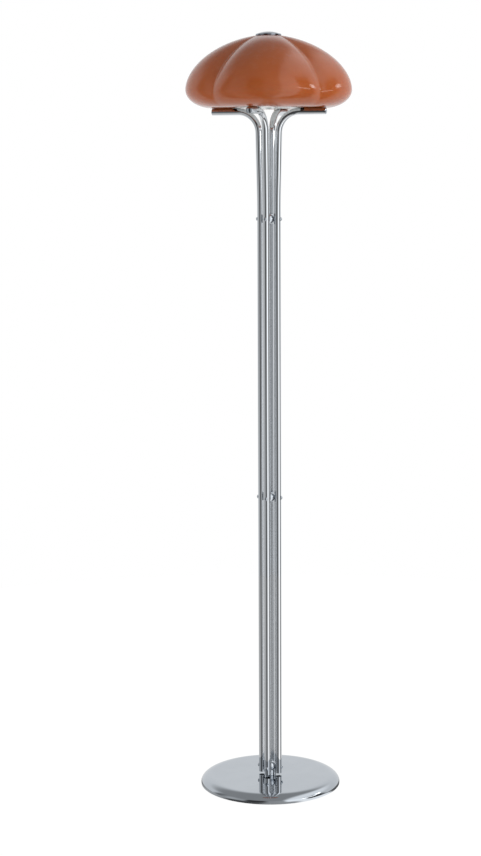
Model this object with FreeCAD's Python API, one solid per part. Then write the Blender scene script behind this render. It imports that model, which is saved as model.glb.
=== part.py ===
import FreeCAD, Part
import math
import os

from FreeCAD import Vector

# Mushroom floor lamp, millimetres. Z is up, the origin is the centre of the base on the floor.
# The four tubes stand on +X (right), +Y (back), -X (left) and -Y (front) of the axis.

# ---------------------------------------------------------------- driving dimensions

# base
BASE_RADIUS = 160.0
BASE_HEIGHT = 20.0
BASE_FLAT_RADIUS = 133.0      # where the flat top starts to roll down
COVER_SHEET = 1.5
COVER_FLOOR_GAP = 1.5         # the rolled edge stops short of the floor
PAD_RADIUS = 150.0
PAD_THICKNESS = 3.0
WEIGHT_GAP = 3.0              # from the weight's rim to where the cover starts to roll

# column
TUBE_DIAMETER = 15.0
TUBE_WALL = 1.2
BALL_DIAMETER = 26.0
BALL_SEAT_DEPTH = 0.5         # how deep each tube beds into a ball
UPPER_BALL_DROP = 238.0       # from the arms' centreline down to the highest ball
COLLAR_RADIUS = 10.0
COLLAR_NECK = 6.0             # height of the lowest ball above the cover
TUBE_FOOT_GAP = 4.4           # the tubes hover above the cover
SPLAY_START = 40.0            # above the highest ball, where the tubes start to lean out
SPLAY_SLOPE = 0.023
SPLAY_RADIUS = 2500.0

# arms
ARM_HEIGHT = 1540.0           # centreline of the level arms
ARM_REACH = 135.0             # axis to the tip of the domed plug
BEND_RADIUS = 48.0
ARM_DOME = 3.0

# bolts that hold the tubes to the balls
BOLT_DIAMETER = 5.0
BOLT_HEAD_DIAMETER = 9.0
BOLT_HEAD_HEIGHT = 3.0
BOLT_DEPTH_IN_BALL = 9.0
DRILL_CLEARANCE = 0.1         # all round a shank

# central base bolt
BASE_BOLT_DIAMETER = 10.0
BASE_BOLT_HEAD_ACROSS = 17.0
BASE_BOLT_HEAD_HEIGHT = 6.0
BASE_BOLT_DEPTH = 8.5         # thread length in the lowest ball
BASE_WASHER_RADIUS = 12.0
BASE_WASHER_THICKNESS = 1.5
COUNTERBORE_RADIUS = 14.0

# plugs and pins
PLUG_LENGTH = 8.0
PLUG_CLEARANCE = 0.1
FOOT_PLUG_RECESS = 1.0
PIN_DIAMETER = 5.0
PIN_RISE = 6.0                # above the arm
PIN_CIRCLE_RADIUS = 79.0

# holder plate
PLATE_RADIUS = 74.5
PLATE_THICKNESS = 2.5
PLATE_BEAD_RADIUS = 45.0
PLATE_BEAD_WIDTH = 6.0
PLATE_BEAD_RISE = 1.5
PLATE_SCREW_CIRCLE_RADIUS = 70.5
PLATE_SCREW_DIAMETER = 4.0
PLATE_SCREW_HEAD_DIAMETER = 7.0
PLATE_SCREW_HEAD_HEIGHT = 2.2
PLATE_SCREW_LENGTH = 8.0
LEAD_EXIT_RADIUS = 56.0       # where the wire leaves the back arm

# lampholder, heights above the plate
HOLDER_BASE_RADIUS = 19.0
HOLDER_BASE_HEIGHT = 13.0
HOLDER_WALL = 2.5
HOLDER_BOLT_DIAMETER = 6.0
SKIRT_RADIUS = 20.0
SKIRT_HEIGHT = 33.0
CORE_HEIGHT = 8.0
SLEEVE_WALL = 0.5
SLEEVE_HEIGHT = 24.0
CONTACT_RADIUS = 4.0
CONTACT_THICKNESS = 1.6

# bulb with a 27 mm Edison cap
BULB_CAP_RADIUS = 13.2
BULB_CAP_CLEARANCE = 0.35     # to the socket sleeve
BULB_CAP_HEIGHT = 24.0
BULB_CAP_WALL = 0.4
BULB_LENGTH = 105.0
BULB_RADIUS = 30.0
BULB_NECK_RADIUS = 12.6
BULB_GLASS = 0.9
BULB_STEM_HEIGHT = 44.0

# wire
LEAD_DIAMETER = 3.2
LEAD_BOLT_GAP = 0.3           # the wire runs beside the bolts that cross the back tube
LEAD_RUN_HEIGHT = 5.0         # above the pad, inside the base
LEAD_TURN_RADIUS = 9.0
LEAD_RISE_BEND = 8.0
LEAD_ENTRY_BEND = 7.0
LEAD_CLEARANCE = 0.3

# shade
SHADE_RADIUS = 185.0          # at the middle of a lobe
SHADE_SEAM_RADIUS = 165.0     # at the valley between two lobes
SHADE_WALL = 3.0
SHADE_CROWN = 166.0           # crown land above the arms' centreline
SHADE_WIDEST = 48.0           # height of the widest point of a lobe above the arms' centreline
SHADE_SEAM_WIDEST = 38.0      # the same for a valley
SHADE_CURVE = 1.82            # exponent of a lobe's upper curve: 2 is an ellipse
SHADE_SEAM_CURVE = 1.6        # the same for a valley
SHADE_FLANGE_RADIUS = 125.0   # where the flat flange turns up into the lobes
SHADE_OPENING_RADIUS = 83.0
SHADE_TURN = 16.5             # degrees from a lobe's middle to the nearest arm
VALLEY_SOFTNESS = 2.0         # degrees over which a valley is rounded

# crown cap
CAP_RADIUS = 28.5
CAP_EDGE = 3.5
CAP_HEIGHT = 9.0
CAP_STUD_DIAMETER = 8.0
CAP_STUD_LENGTH = 14.0
CAP_WASHER_RADIUS = 14.0
CAP_WASHER_THICKNESS = 1.5
CAP_NUT_ACROSS = 16.0
CAP_NUT_HEIGHT = 5.0
CAP_HOLE_CLEARANCE = 0.3

# ---------------------------------------------------------------- derived sizes

LOBES = 4
ARM_ANGLES = {"right": 0.0, "back": 90.0, "left": 180.0, "front": 270.0}
TUBE_RADIUS = TUBE_DIAMETER / 2
BORE_RADIUS = TUBE_RADIUS - TUBE_WALL
BALL_RADIUS = BALL_DIAMETER / 2
PITCH_RADIUS = BALL_RADIUS + TUBE_RADIUS - BALL_SEAT_DEPTH
LOWER_BALL = BASE_HEIGHT + COLLAR_NECK + BALL_RADIUS
UPPER_BALL = ARM_HEIGHT - UPPER_BALL_DROP
BALL_HEIGHTS = {"lower": LOWER_BALL, "middle": (LOWER_BALL + UPPER_BALL) / 2, "upper": UPPER_BALL}
WEIGHT_RADIUS = BASE_FLAT_RADIUS - WEIGHT_GAP
TUBE_FOOT = BASE_HEIGHT + TUBE_FOOT_GAP
ARM_END = ARM_REACH - ARM_DOME
ARM_TOP = ARM_HEIGHT + TUBE_RADIUS
PLATE_TOP = ARM_TOP + PLATE_THICKNESS
COVER_INNER_TOP = BASE_HEIGHT - COVER_SHEET
BOLT_RADIUS = BOLT_DIAMETER / 2
BOLT_DRILL_RADIUS = BOLT_RADIUS + DRILL_CLEARANCE
BOLT_TIP = BALL_RADIUS - BOLT_DEPTH_IN_BALL
BASE_DRILL_RADIUS = BASE_BOLT_DIAMETER / 2 + DRILL_CLEARANCE
WASHER_TOP = PAD_THICKNESS + BASE_BOLT_HEAD_HEIGHT + BASE_WASHER_THICKNESS
LEAD_RADIUS = LEAD_DIAMETER / 2
LEAD_HOLE_RADIUS = LEAD_RADIUS + LEAD_CLEARANCE
LEAD_SIDE = BOLT_RADIUS + LEAD_BOLT_GAP + LEAD_RADIUS
NECK_RADIUS = LEAD_HOLE_RADIUS + 1.1
CORE_TOP = PLATE_TOP + HOLDER_BASE_HEIGHT + CORE_HEIGHT / 2
BULB_FOOT = CORE_TOP + CONTACT_THICKNESS + BULB_CAP_CLEARANCE
CROWN_HEIGHT = ARM_HEIGHT + SHADE_CROWN
FLANGE_BOTTOM = ARM_TOP

# ---------------------------------------------------------------- shape helpers


def cylinder(radius, low, high, x=0.0, y=0.0):
    """Upright cylinder between two heights."""
    return Part.makeCylinder(radius, high - low, Vector(x, y, low))


def rod(radius, start, end, height, y=0.0):
    """Level cylinder along X between two distances from the axis."""
    return Part.makeCylinder(radius, end - start, Vector(start, y, height), Vector(1, 0, 0))


def ring(outer, inner, low, high):
    return cylinder(outer, low, high).cut(cylinder(inner, low - 1, high + 1))


def turned(*steps):
    """Solid of revolution about Z. A step is (radius, height), or (via_r, via_z, radius, height) for an arc."""
    edges = []
    here = Vector(steps[0][0], 0, steps[0][1])
    first = here
    for step in steps[1:] + (steps[0][-2:],):
        there = Vector(step[-2], 0, step[-1])
        if len(step) == 4:
            edges.append(Part.Arc(here, Vector(step[0], 0, step[1]), there).toShape())
        elif (there - here).Length > 1e-6:
            edges.append(Part.LineSegment(here, there).toShape())
        here = there
    assert (here - first).Length < 1e-6
    return Part.Face(Part.Wire(edges)).revolve(Vector(0, 0, 0), Vector(0, 0, 1), 360)


def dome(radius, edge, pole):
    """Point half-way along the spherical arc from a rim at one height to the pole on the axis at another."""
    height = pole - edge
    sphere = (radius ** 2 + height ** 2) / (2 * height)
    half = math.asin(radius / abs(sphere)) / 2
    return abs(sphere) * math.sin(half), pole - sphere * (1 - math.cos(half))


def spun(shape, angle):
    """Copy turned about the lamp's axis."""
    copy = shape.copy()
    copy.rotate(Vector(0, 0, 0), Vector(0, 0, 1), angle)
    return copy


def around(shape, angles):
    return [spun(shape, angle) for angle in angles]


def hexagon(across_flats, low, high):
    corner = across_flats / math.sqrt(3)
    points = [Vector(corner * math.cos(math.radians(60 * k)), corner * math.sin(math.radians(60 * k)), low)
              for k in range(7)]
    return Part.Face(Part.makePolygon(points)).extrude(Vector(0, 0, high - low))


def rounded_path(points, radii):
    """Wire of straight runs with a tangent arc of the given radius at each inner point."""
    edges = []
    here = points[0]
    for before, corner, after, radius in zip(points, points[1:], points[2:], radii):
        back = (before - corner).normalize()
        ahead = (after - corner).normalize()
        half_turn = (math.pi - back.getAngle(ahead)) / 2
        reach = radius * math.tan(half_turn)
        start = corner + back * reach
        end = corner + ahead * reach
        inward = (back + ahead).normalize()
        middle = corner + inward * (radius / math.cos(half_turn) - radius)
        edges.append(Part.LineSegment(here, start).toShape())
        edges.append(Part.Arc(start, middle, end).toShape())
        here = end
    edges.append(Part.LineSegment(here, points[-1]).toShape())
    return Part.Wire(edges)


def piped(path, radius, start, direction):
    """Round bar of the given radius swept along a path."""
    section = Part.Wire(Part.makeCircle(radius, start, direction))
    return path.makePipeShell([section], True, False)


def save(name, *shapes):
    shape = shapes[0] if len(shapes) == 1 else Part.makeCompound(list(shapes))
    for solid in shape.Solids:
        assert solid.isValid() and solid.Volume > 0, name
    shape.exportStep("parts/" + name + ".step")


# ---------------------------------------------------------------- column tubes


def tube_path(foot, end):
    """Centreline of the right-hand tube: column, slight lean, bend and level arm."""
    lean_start = BALL_HEIGHTS["upper"] + SPLAY_START
    corner = PITCH_RADIUS + (ARM_HEIGHT - lean_start) * SPLAY_SLOPE
    points = [Vector(PITCH_RADIUS, 0, foot), Vector(PITCH_RADIUS, 0, lean_start),
              Vector(corner, 0, ARM_HEIGHT), Vector(end, 0, ARM_HEIGHT)]
    return rounded_path(points, [SPLAY_RADIUS, BEND_RADIUS])


def tube_bar(radius, overrun=0.0):
    foot = TUBE_FOOT - overrun
    path = tube_path(foot, ARM_END + overrun)
    return piped(path, radius, Vector(PITCH_RADIUS, 0, foot), Vector(0, 0, 1))


def bare_tube():
    return tube_bar(TUBE_RADIUS).cut(tube_bar(BORE_RADIUS, 1.0))


def bolt_drill(height):
    return rod(BOLT_DRILL_RADIUS, BOLT_TIP, PITCH_RADIUS + 2 * TUBE_RADIUS, height)


def lead_diagonal():
    """The wire's sloping run from the bend up to where it leaves the arm, as two (distance, height) points."""
    tube_top = PITCH_RADIUS + (ARM_HEIGHT - BALL_HEIGHTS["upper"] - SPLAY_START) * SPLAY_SLOPE
    corner_height = ARM_HEIGHT - BEND_RADIUS + BEND_RADIUS * math.tan(math.radians(22.5))
    return (tube_top, corner_height), (LEAD_EXIT_RADIUS, corner_height + LEAD_EXIT_RADIUS - tube_top)


def lead_exit():
    """Hole in the back arm round the wire: along its slope, then straight up."""
    (start_r, start_z), (end_r, end_z) = lead_diagonal()
    start = Vector((start_r + end_r) / 2, LEAD_SIDE, (start_z + end_z) / 2)
    end = Vector(end_r, LEAD_SIDE, end_z)
    slope = Part.makeCylinder(NECK_RADIUS, (end - start).Length, start, end - start)
    return slope.fuse(cylinder(NECK_RADIUS, end_z - NECK_RADIUS, ARM_TOP + 1, end_r, LEAD_SIDE))


def column_tube(side):
    tube = bare_tube()
    for height in BALL_HEIGHTS.values():
        tube = tube.cut(bolt_drill(height))
    for place, radius in ((PIN_CIRCLE_RADIUS, PIN_DIAMETER / 2), (PLATE_SCREW_CIRCLE_RADIUS, PLATE_SCREW_DIAMETER / 2)):
        tube = tube.cut(cylinder(radius + DRILL_CLEARANCE, ARM_HEIGHT, ARM_TOP + 1, place))
    if side == "back":
        tube = tube.cut(lead_exit())
    return spun(tube, ARM_ANGLES[side])


def foot_plug():
    bottom = TUBE_FOOT + FOOT_PLUG_RECESS
    plug = cylinder(BORE_RADIUS - PLUG_CLEARANCE, bottom, bottom + PLUG_LENGTH - 2)
    plug.translate(Vector(PITCH_RADIUS, 0, 0))
    return plug


def arm_plug():
    """Spigot in the bore and a domed head as wide as the tube, turned about the arm."""
    spigot = BORE_RADIUS - PLUG_CLEARANCE
    edge = 0.6
    plug = turned((0, -PLUG_LENGTH), (spigot, -PLUG_LENGTH), (spigot, 0), (TUBE_RADIUS, 0), (TUBE_RADIUS, edge),
                  (*dome(TUBE_RADIUS, edge, ARM_DOME), 0, ARM_DOME))
    plug.rotate(Vector(0, 0, 0), Vector(0, 1, 0), 90)
    plug.translate(Vector(ARM_END, 0, ARM_HEIGHT))
    return plug


def arm_pin():
    """Upright pin with a rounded top, standing in a hole in the arm's upper wall."""
    radius = PIN_DIAMETER / 2
    top = ARM_TOP + PIN_RISE
    shoulder = top - 1
    pin = turned((0, ARM_TOP - TUBE_WALL - 1), (radius, ARM_TOP - TUBE_WALL - 1), (radius, shoulder),
                 (*dome(radius, shoulder, top), 0, top))
    pin.translate(Vector(PIN_CIRCLE_RADIUS, 0, 0))
    return pin


# ---------------------------------------------------------------- balls and their bolts


def ball(level):
    height = BALL_HEIGHTS[level]
    body = Part.makeSphere(BALL_RADIUS, Vector(0, 0, height))
    for angle in ARM_ANGLES.values():
        seat = cylinder(TUBE_RADIUS, height - BALL_RADIUS, height + BALL_RADIUS, PITCH_RADIUS)
        body = body.cut(spun(seat, angle)).cut(spun(bolt_drill(height), angle))
    if level == "lower":
        bottom = height - BALL_RADIUS
        body = body.cut(cylinder(BASE_DRILL_RADIUS, bottom - 1, bottom + BASE_BOLT_DEPTH + 1))
    return body


def tube_bolt(height):
    """Domed head that beds on the tube, with a shank through both tube walls into the ball."""
    outside = PITCH_RADIUS + TUBE_RADIUS
    head_radius = BOLT_HEAD_DIAMETER / 2
    bedding = head_radius ** 2 / (2 * TUBE_RADIUS) + 0.3
    pole = bedding + BOLT_HEAD_HEIGHT
    edge = bedding + 0.7
    head = turned((0, 0), (head_radius, 0), (head_radius, edge), (*dome(head_radius, edge, pole), 0, pole))
    head.rotate(Vector(0, 0, 0), Vector(0, 1, 0), 90)
    head.translate(Vector(outside - bedding, 0, height))
    head = head.cut(cylinder(TUBE_RADIUS, height - head_radius - 1, height + head_radius + 1, PITCH_RADIUS))
    return head.fuse(rod(BOLT_RADIUS, BOLT_TIP + 1, outside + 0.5, height)).removeSplitter()


# ---------------------------------------------------------------- base


def cover_profile(radius, flat_radius, top, bottom):
    """Half section of the rolled edge, from the flat top down to the rim, as one quarter-ellipse and a lip."""
    lip = bottom + 3.0
    steps = 8
    points = [Vector(flat_radius + (radius - flat_radius) * math.sin(math.pi / 2 * k / steps), 0,
                     lip + (top - lip) * math.cos(math.pi / 2 * k / steps)) for k in range(steps + 1)]
    curve = Part.BSplineCurve()
    curve.interpolate(Points=points, InitialTangent=Vector(1, 0, 0), FinalTangent=Vector(0, 0, -1))
    return [Part.LineSegment(Vector(0, 0, top), points[0]).toShape(), curve.toShape(),
            Part.LineSegment(points[-1], Vector(radius, 0, bottom)).toShape()]


def cover_block(radius, flat_radius, top, bottom):
    edges = cover_profile(radius, flat_radius, top, bottom)
    edges.append(Part.LineSegment(Vector(radius, 0, bottom), Vector(0, 0, bottom)).toShape())
    edges.append(Part.LineSegment(Vector(0, 0, bottom), Vector(0, 0, top)).toShape())
    return Part.Face(Part.Wire(edges)).revolve(Vector(0, 0, 0), Vector(0, 0, 1), 360)


def gland_axis_height():
    return PAD_THICKNESS + LEAD_RUN_HEIGHT


def base_cover():
    outer = cover_block(BASE_RADIUS, BASE_FLAT_RADIUS, BASE_HEIGHT, COVER_FLOOR_GAP)
    inner = cover_block(BASE_RADIUS - COVER_SHEET, BASE_FLAT_RADIUS, COVER_INNER_TOP, COVER_FLOOR_GAP)
    cover = outer.cut(inner)
    cover = cover.cut(cylinder(BASE_DRILL_RADIUS, 0, BASE_HEIGHT + 1))
    cover = cover.cut(cylinder(NECK_RADIUS + DRILL_CLEARANCE, 0, BASE_HEIGHT + 1, -LEAD_SIDE, PITCH_RADIUS))
    hole = Part.makeCylinder(NECK_RADIUS + DRILL_CLEARANCE, BASE_RADIUS - BASE_FLAT_RADIUS,
                             Vector(-LEAD_SIDE, (BASE_RADIUS + BASE_FLAT_RADIUS) / 2, gland_axis_height()),
                             Vector(0, 1, 0))
    return cover.cut(hole)


def base_weight():
    weight = cylinder(WEIGHT_RADIUS, PAD_THICKNESS, COVER_INNER_TOP)
    weight = weight.cut(cylinder(BASE_DRILL_RADIUS, 0, BASE_HEIGHT))
    weight = weight.cut(cylinder(COUNTERBORE_RADIUS, 0, WASHER_TOP))
    groove_width = 2 * LEAD_HOLE_RADIUS
    groove_top = gland_axis_height() + LEAD_HOLE_RADIUS
    slot_start = PITCH_RADIUS - LEAD_HOLE_RADIUS
    corner = Vector(-LEAD_SIDE - groove_width / 2, slot_start, 0)
    groove = Part.makeBox(groove_width, WEIGHT_RADIUS, groove_top, corner)
    riser = Part.makeBox(groove_width, LEAD_TURN_RADIUS + 2 * LEAD_HOLE_RADIUS, BASE_HEIGHT, corner)
    return weight.cut(groove).cut(riser)


def base_bolt():
    head_low = PAD_THICKNESS
    head_high = head_low + BASE_BOLT_HEAD_HEIGHT
    tip = BASE_HEIGHT + COLLAR_NECK + BASE_BOLT_DEPTH
    head = hexagon(BASE_BOLT_HEAD_ACROSS, head_low, head_high)
    crown = cylinder(BASE_BOLT_HEAD_ACROSS / 2 + 0.8, head_low, head_high)
    shank = turned((0, head_high - 1), (BASE_BOLT_DIAMETER / 2, head_high - 1), (BASE_BOLT_DIAMETER / 2, tip - 1),
                   (BASE_BOLT_DIAMETER / 2 - 1, tip), (0, tip))
    return head.common(crown).fuse(shank)


def base_collar():
    """Small neck between cover and lowest ball, dished to the ball."""
    centre = BALL_HEIGHTS["lower"]
    top = centre - math.sqrt(BALL_RADIUS ** 2 - COLLAR_RADIUS ** 2)
    collar = turned((BASE_DRILL_RADIUS, BASE_HEIGHT), (COLLAR_RADIUS + 1, BASE_HEIGHT),
                    (COLLAR_RADIUS + 0.2, BASE_HEIGHT + 1.6, COLLAR_RADIUS, top), (BASE_DRILL_RADIUS, top))
    return collar.cut(Part.makeSphere(BALL_RADIUS, Vector(0, 0, centre)))


def lead_bush():
    """Flanged sleeve between the cover and the foot of the back tube."""
    spigot = BORE_RADIUS - PLUG_CLEARANCE
    bush = turned((0, BASE_HEIGHT), (TUBE_RADIUS, BASE_HEIGHT), (TUBE_RADIUS, BASE_HEIGHT + 0.8),
                  (spigot, TUBE_FOOT), (spigot, TUBE_FOOT + PLUG_LENGTH / 2), (0, TUBE_FOOT + PLUG_LENGTH / 2))
    bush.translate(Vector(PITCH_RADIUS, 0, 0))
    neck = cylinder(NECK_RADIUS, COVER_INNER_TOP, BASE_HEIGHT + 1, PITCH_RADIUS, LEAD_SIDE)
    bore = cylinder(LEAD_HOLE_RADIUS, 0, ARM_HEIGHT, PITCH_RADIUS, LEAD_SIDE)
    return spun(bush.fuse(neck).cut(bore), ARM_ANGLES["back"])


def cord_gland():
    """Rubber grommet in the rear edge of the cover, turned about its own axis and laid along Y."""
    bore = LEAD_HOLE_RADIUS - 0.1
    flange = NECK_RADIUS + 1.4
    inside = -COVER_SHEET - 2.0
    outside = 1.2
    grommet = turned((bore, inside), (flange, inside), (flange, outside - 0.8), (flange - 0.8, outside), (bore, outside))
    grommet.rotate(Vector(0, 0, 0), Vector(1, 0, 0), -90)
    grommet.translate(Vector(-LEAD_SIDE, BASE_RADIUS, gland_axis_height()))
    return grommet.cut(base_cover())


# ---------------------------------------------------------------- holder plate and lampholder


def holder_plate():
    """Round plate with a pressed stiffening bead and a soft edge."""
    half = PLATE_BEAD_WIDTH / 2
    bead_in = PLATE_BEAD_RADIUS - half
    bead_out = PLATE_BEAD_RADIUS + half
    edge = PLATE_THICKNESS / 2
    plate = turned((0, ARM_TOP), (bead_in, ARM_TOP), (PLATE_BEAD_RADIUS, ARM_TOP + PLATE_BEAD_RISE, bead_out, ARM_TOP),
                   (PLATE_RADIUS - edge, ARM_TOP), (PLATE_RADIUS, ARM_TOP + edge, PLATE_RADIUS - edge, PLATE_TOP),
                   (bead_out, PLATE_TOP), (PLATE_BEAD_RADIUS, PLATE_TOP + PLATE_BEAD_RISE, bead_in, PLATE_TOP),
                   (0, PLATE_TOP))
    plate = plate.cut(cylinder(HOLDER_BOLT_DIAMETER / 2 + DRILL_CLEARANCE, ARM_HEIGHT, PLATE_TOP + 1))
    screw_hole = cylinder(PLATE_SCREW_DIAMETER / 2 + DRILL_CLEARANCE, ARM_HEIGHT, PLATE_TOP + 1,
                          PLATE_SCREW_CIRCLE_RADIUS)
    for hole in around(screw_hole, ARM_ANGLES.values()):
        plate = plate.cut(hole)
    return plate.cut(cylinder(LEAD_HOLE_RADIUS, ARM_HEIGHT, PLATE_TOP + 1, -LEAD_SIDE, LEAD_EXIT_RADIUS))


def plate_screw():
    shank = PLATE_SCREW_DIAMETER / 2
    head = PLATE_SCREW_HEAD_DIAMETER / 2
    tip = PLATE_TOP - PLATE_SCREW_LENGTH
    edge = PLATE_TOP + 0.6
    pole = PLATE_TOP + PLATE_SCREW_HEAD_HEIGHT
    screw = turned((0, tip), (shank, tip), (shank, PLATE_TOP), (head, PLATE_TOP), (head, edge),
                   (*dome(head, edge, pole), 0, pole))
    screw.translate(Vector(PLATE_SCREW_CIRCLE_RADIUS, 0, 0))
    return screw


def holder_bolt():
    """Domed head under the plate, shank up into the lampholder."""
    shank = HOLDER_BOLT_DIAMETER / 2
    head = HOLDER_BOLT_DIAMETER
    tip = PLATE_TOP + HOLDER_WALL + 3
    edge = ARM_TOP - 0.8
    pole = ARM_TOP - BOLT_HEAD_HEIGHT
    return turned((0, pole), (*dome(head, edge, pole), head, edge), (head, ARM_TOP), (shank, ARM_TOP), (shank, tip),
                  (0, tip))


def lampholder_base():
    """Lower half of the housing: a cup with a thick floor, a step for the skirt and a side inlet for the wire."""
    top = PLATE_TOP + HOLDER_BASE_HEIGHT
    inside = HOLDER_BASE_RADIUS - HOLDER_WALL
    floor = PLATE_TOP + HOLDER_WALL
    hole = HOLDER_BOLT_DIAMETER / 2 + DRILL_CLEARANCE
    cup = turned((hole, PLATE_TOP), (HOLDER_BASE_RADIUS - 2, PLATE_TOP),
                 (HOLDER_BASE_RADIUS - 0.6, PLATE_TOP + 0.6, HOLDER_BASE_RADIUS, PLATE_TOP + 2),
                 (HOLDER_BASE_RADIUS, top), (inside, top), (inside, floor), (hole, floor))
    inlet = Part.makeCylinder(LEAD_HOLE_RADIUS, HOLDER_BASE_RADIUS, Vector(-LEAD_SIDE, inside / 2, lead_entry_height()),
                              Vector(0, 1, 0))
    return cup.cut(inlet)


def lead_entry_height():
    return PLATE_TOP + HOLDER_WALL + LEAD_HOLE_RADIUS + 0.5


def socket_core():
    """Insulating disc that closes the cup and carries the sleeve and the centre contact."""
    inside = HOLDER_BASE_RADIUS - HOLDER_WALL - PLUG_CLEARANCE
    middle = PLATE_TOP + HOLDER_BASE_HEIGHT
    shoulder = HOLDER_BASE_RADIUS - 0.6
    return turned((0, middle - CORE_HEIGHT / 2), (inside, middle - CORE_HEIGHT / 2), (inside, middle),
                  (shoulder, middle), (shoulder, middle + 1.5), (inside, middle + 1.5), (inside, CORE_TOP), (0, CORE_TOP))


def lampholder_skirt():
    """Upper half of the housing, a tapering collar round the threaded sleeve."""
    low = PLATE_TOP + HOLDER_BASE_HEIGHT + 1.5
    high = low + SKIRT_HEIGHT
    inside = HOLDER_BASE_RADIUS - HOLDER_WALL
    mouth = BULB_CAP_RADIUS + BULB_CAP_CLEARANCE + SLEEVE_WALL + 0.3
    return turned((inside, low), (SKIRT_RADIUS, low), (SKIRT_RADIUS, low + 6), (SKIRT_RADIUS - 1.2, low + 7),
                  (SKIRT_RADIUS - 1.8, high - 1), (SKIRT_RADIUS - 2.4, high), (mouth, high), (mouth, high - 6),
                  (inside, high - 10))


def socket_sleeve():
    inner = BULB_CAP_RADIUS + BULB_CAP_CLEARANCE
    return ring(inner + SLEEVE_WALL, inner, CORE_TOP, CORE_TOP + SLEEVE_HEIGHT)


def socket_contact():
    edge = CORE_TOP + 0.5
    pole = CORE_TOP + CONTACT_THICKNESS
    return turned((0, CORE_TOP), (CONTACT_RADIUS, CORE_TOP), (CONTACT_RADIUS, edge),
                  (*dome(CONTACT_RADIUS, edge, pole), 0, pole))


# ---------------------------------------------------------------- bulb


def bulb_contact():
    return turned((0, BULB_FOOT), (3.6, BULB_FOOT + 0.4), (4.6, BULB_FOOT + 1.6), (0, BULB_FOOT + 1.6))


def bulb_insulator():
    low = BULB_FOOT + 1.6
    return turned((0, low), (4.6, low), (9.6, low + 3.2), (0, low + 3.2))


def bulb_cap():
    """Thin threaded shell, drawn in at its foot to the insulator."""
    low = BULB_FOOT + 4.8
    high = BULB_FOOT + BULB_CAP_HEIGHT
    inner = BULB_CAP_RADIUS - BULB_CAP_WALL
    return turned((9.6 - 1.2, low), (9.6, low), (BULB_CAP_RADIUS, low + 2.4), (BULB_CAP_RADIUS, high),
                  (inner, high), (inner, low + 2.6), (8.4, low + 0.6))


def glass_block(shrink, foot):
    """Solid pear shape, smaller all round by the given amount."""
    top = BULB_FOOT + BULB_LENGTH
    centre = top - BULB_RADIUS
    neck = BULB_NECK_RADIUS - shrink
    round_radius = BULB_RADIUS - shrink
    meet = math.radians(27)
    meet_r = round_radius * math.cos(meet)
    meet_z = centre - round_radius * math.sin(meet)
    neck_top = BULB_FOOT + BULB_CAP_HEIGHT + 5
    bulge_r = neck + (meet_r - neck) * 0.42
    bulge_z = neck_top + (meet_z - neck_top) * 0.56
    side = math.radians(30)
    return turned((0, foot), (neck, foot), (neck, neck_top), (bulge_r, bulge_z, meet_r, meet_z),
                  (round_radius * math.cos(side), centre + round_radius * math.sin(side), 0, top - shrink))


def bulb_glass():
    foot = BULB_FOOT + BULB_CAP_HEIGHT - 4
    return glass_block(0.0, foot).cut(glass_block(BULB_GLASS, foot - 2))


def bulb_mount():
    """Glass stem with a flared foot and a small bead that holds the filament."""
    foot = BULB_FOOT + BULB_CAP_HEIGHT - 4
    flare = BULB_NECK_RADIUS - BULB_GLASS - 0.1
    top = foot + BULB_STEM_HEIGHT
    return turned((0, foot), (flare, foot), (flare, foot + 0.8), (flare * 0.45, foot + 4, 3.2, foot + 14),
                  (2.2, top - 2), (*dome(2.2, top - 2, top), 0, top))


# ---------------------------------------------------------------- wire


def inner_lead():
    """Wire from the gland through the base and the back tube to the lampholder, in the plane of the back tube."""
    run = gland_axis_height()
    (tube_top, corner_height), (exit_r, exit_height) = lead_diagonal()
    lean_start = BALL_HEIGHTS["upper"] + SPLAY_START
    start_r = BASE_RADIUS - 1
    end_r = HOLDER_BASE_RADIUS - HOLDER_WALL - 3
    points = [Vector(start_r, 0, run), Vector(PITCH_RADIUS, 0, run), Vector(PITCH_RADIUS, 0, lean_start),
              Vector(tube_top, 0, corner_height), Vector(exit_r, 0, exit_height),
              Vector(exit_r, 0, lead_entry_height()), Vector(end_r, 0, lead_entry_height())]
    radii = [LEAD_TURN_RADIUS, SPLAY_RADIUS, BEND_RADIUS, LEAD_RISE_BEND, LEAD_ENTRY_BEND]
    path = rounded_path(points, radii)
    wire = piped(path, LEAD_RADIUS, points[0], Vector(-1, 0, 0))
    wire.translate(Vector(0, LEAD_SIDE, 0))
    return spun(wire, ARM_ANGLES["back"])


# ---------------------------------------------------------------- shade


def valley_share(angle):
    """0 at the middle of a lobe, 1 in the valley; a lobe is one circular arc in plan."""
    depth = SHADE_SEAM_RADIUS / SHADE_RADIUS
    seam = 180.0 / LOBES
    away = seam - math.hypot(seam - abs(angle), VALLEY_SOFTNESS) + VALLEY_SOFTNESS * (abs(angle) / seam) ** 8
    half = math.radians(seam)
    centre = (1 - depth ** 2) / (2 * (1 - depth * math.cos(half)))
    turn = math.radians(away)
    reach = centre * math.cos(turn) + math.sqrt((1 - centre) ** 2 - (centre * math.sin(turn)) ** 2)
    return (1 - reach) / (1 - depth)


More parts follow.
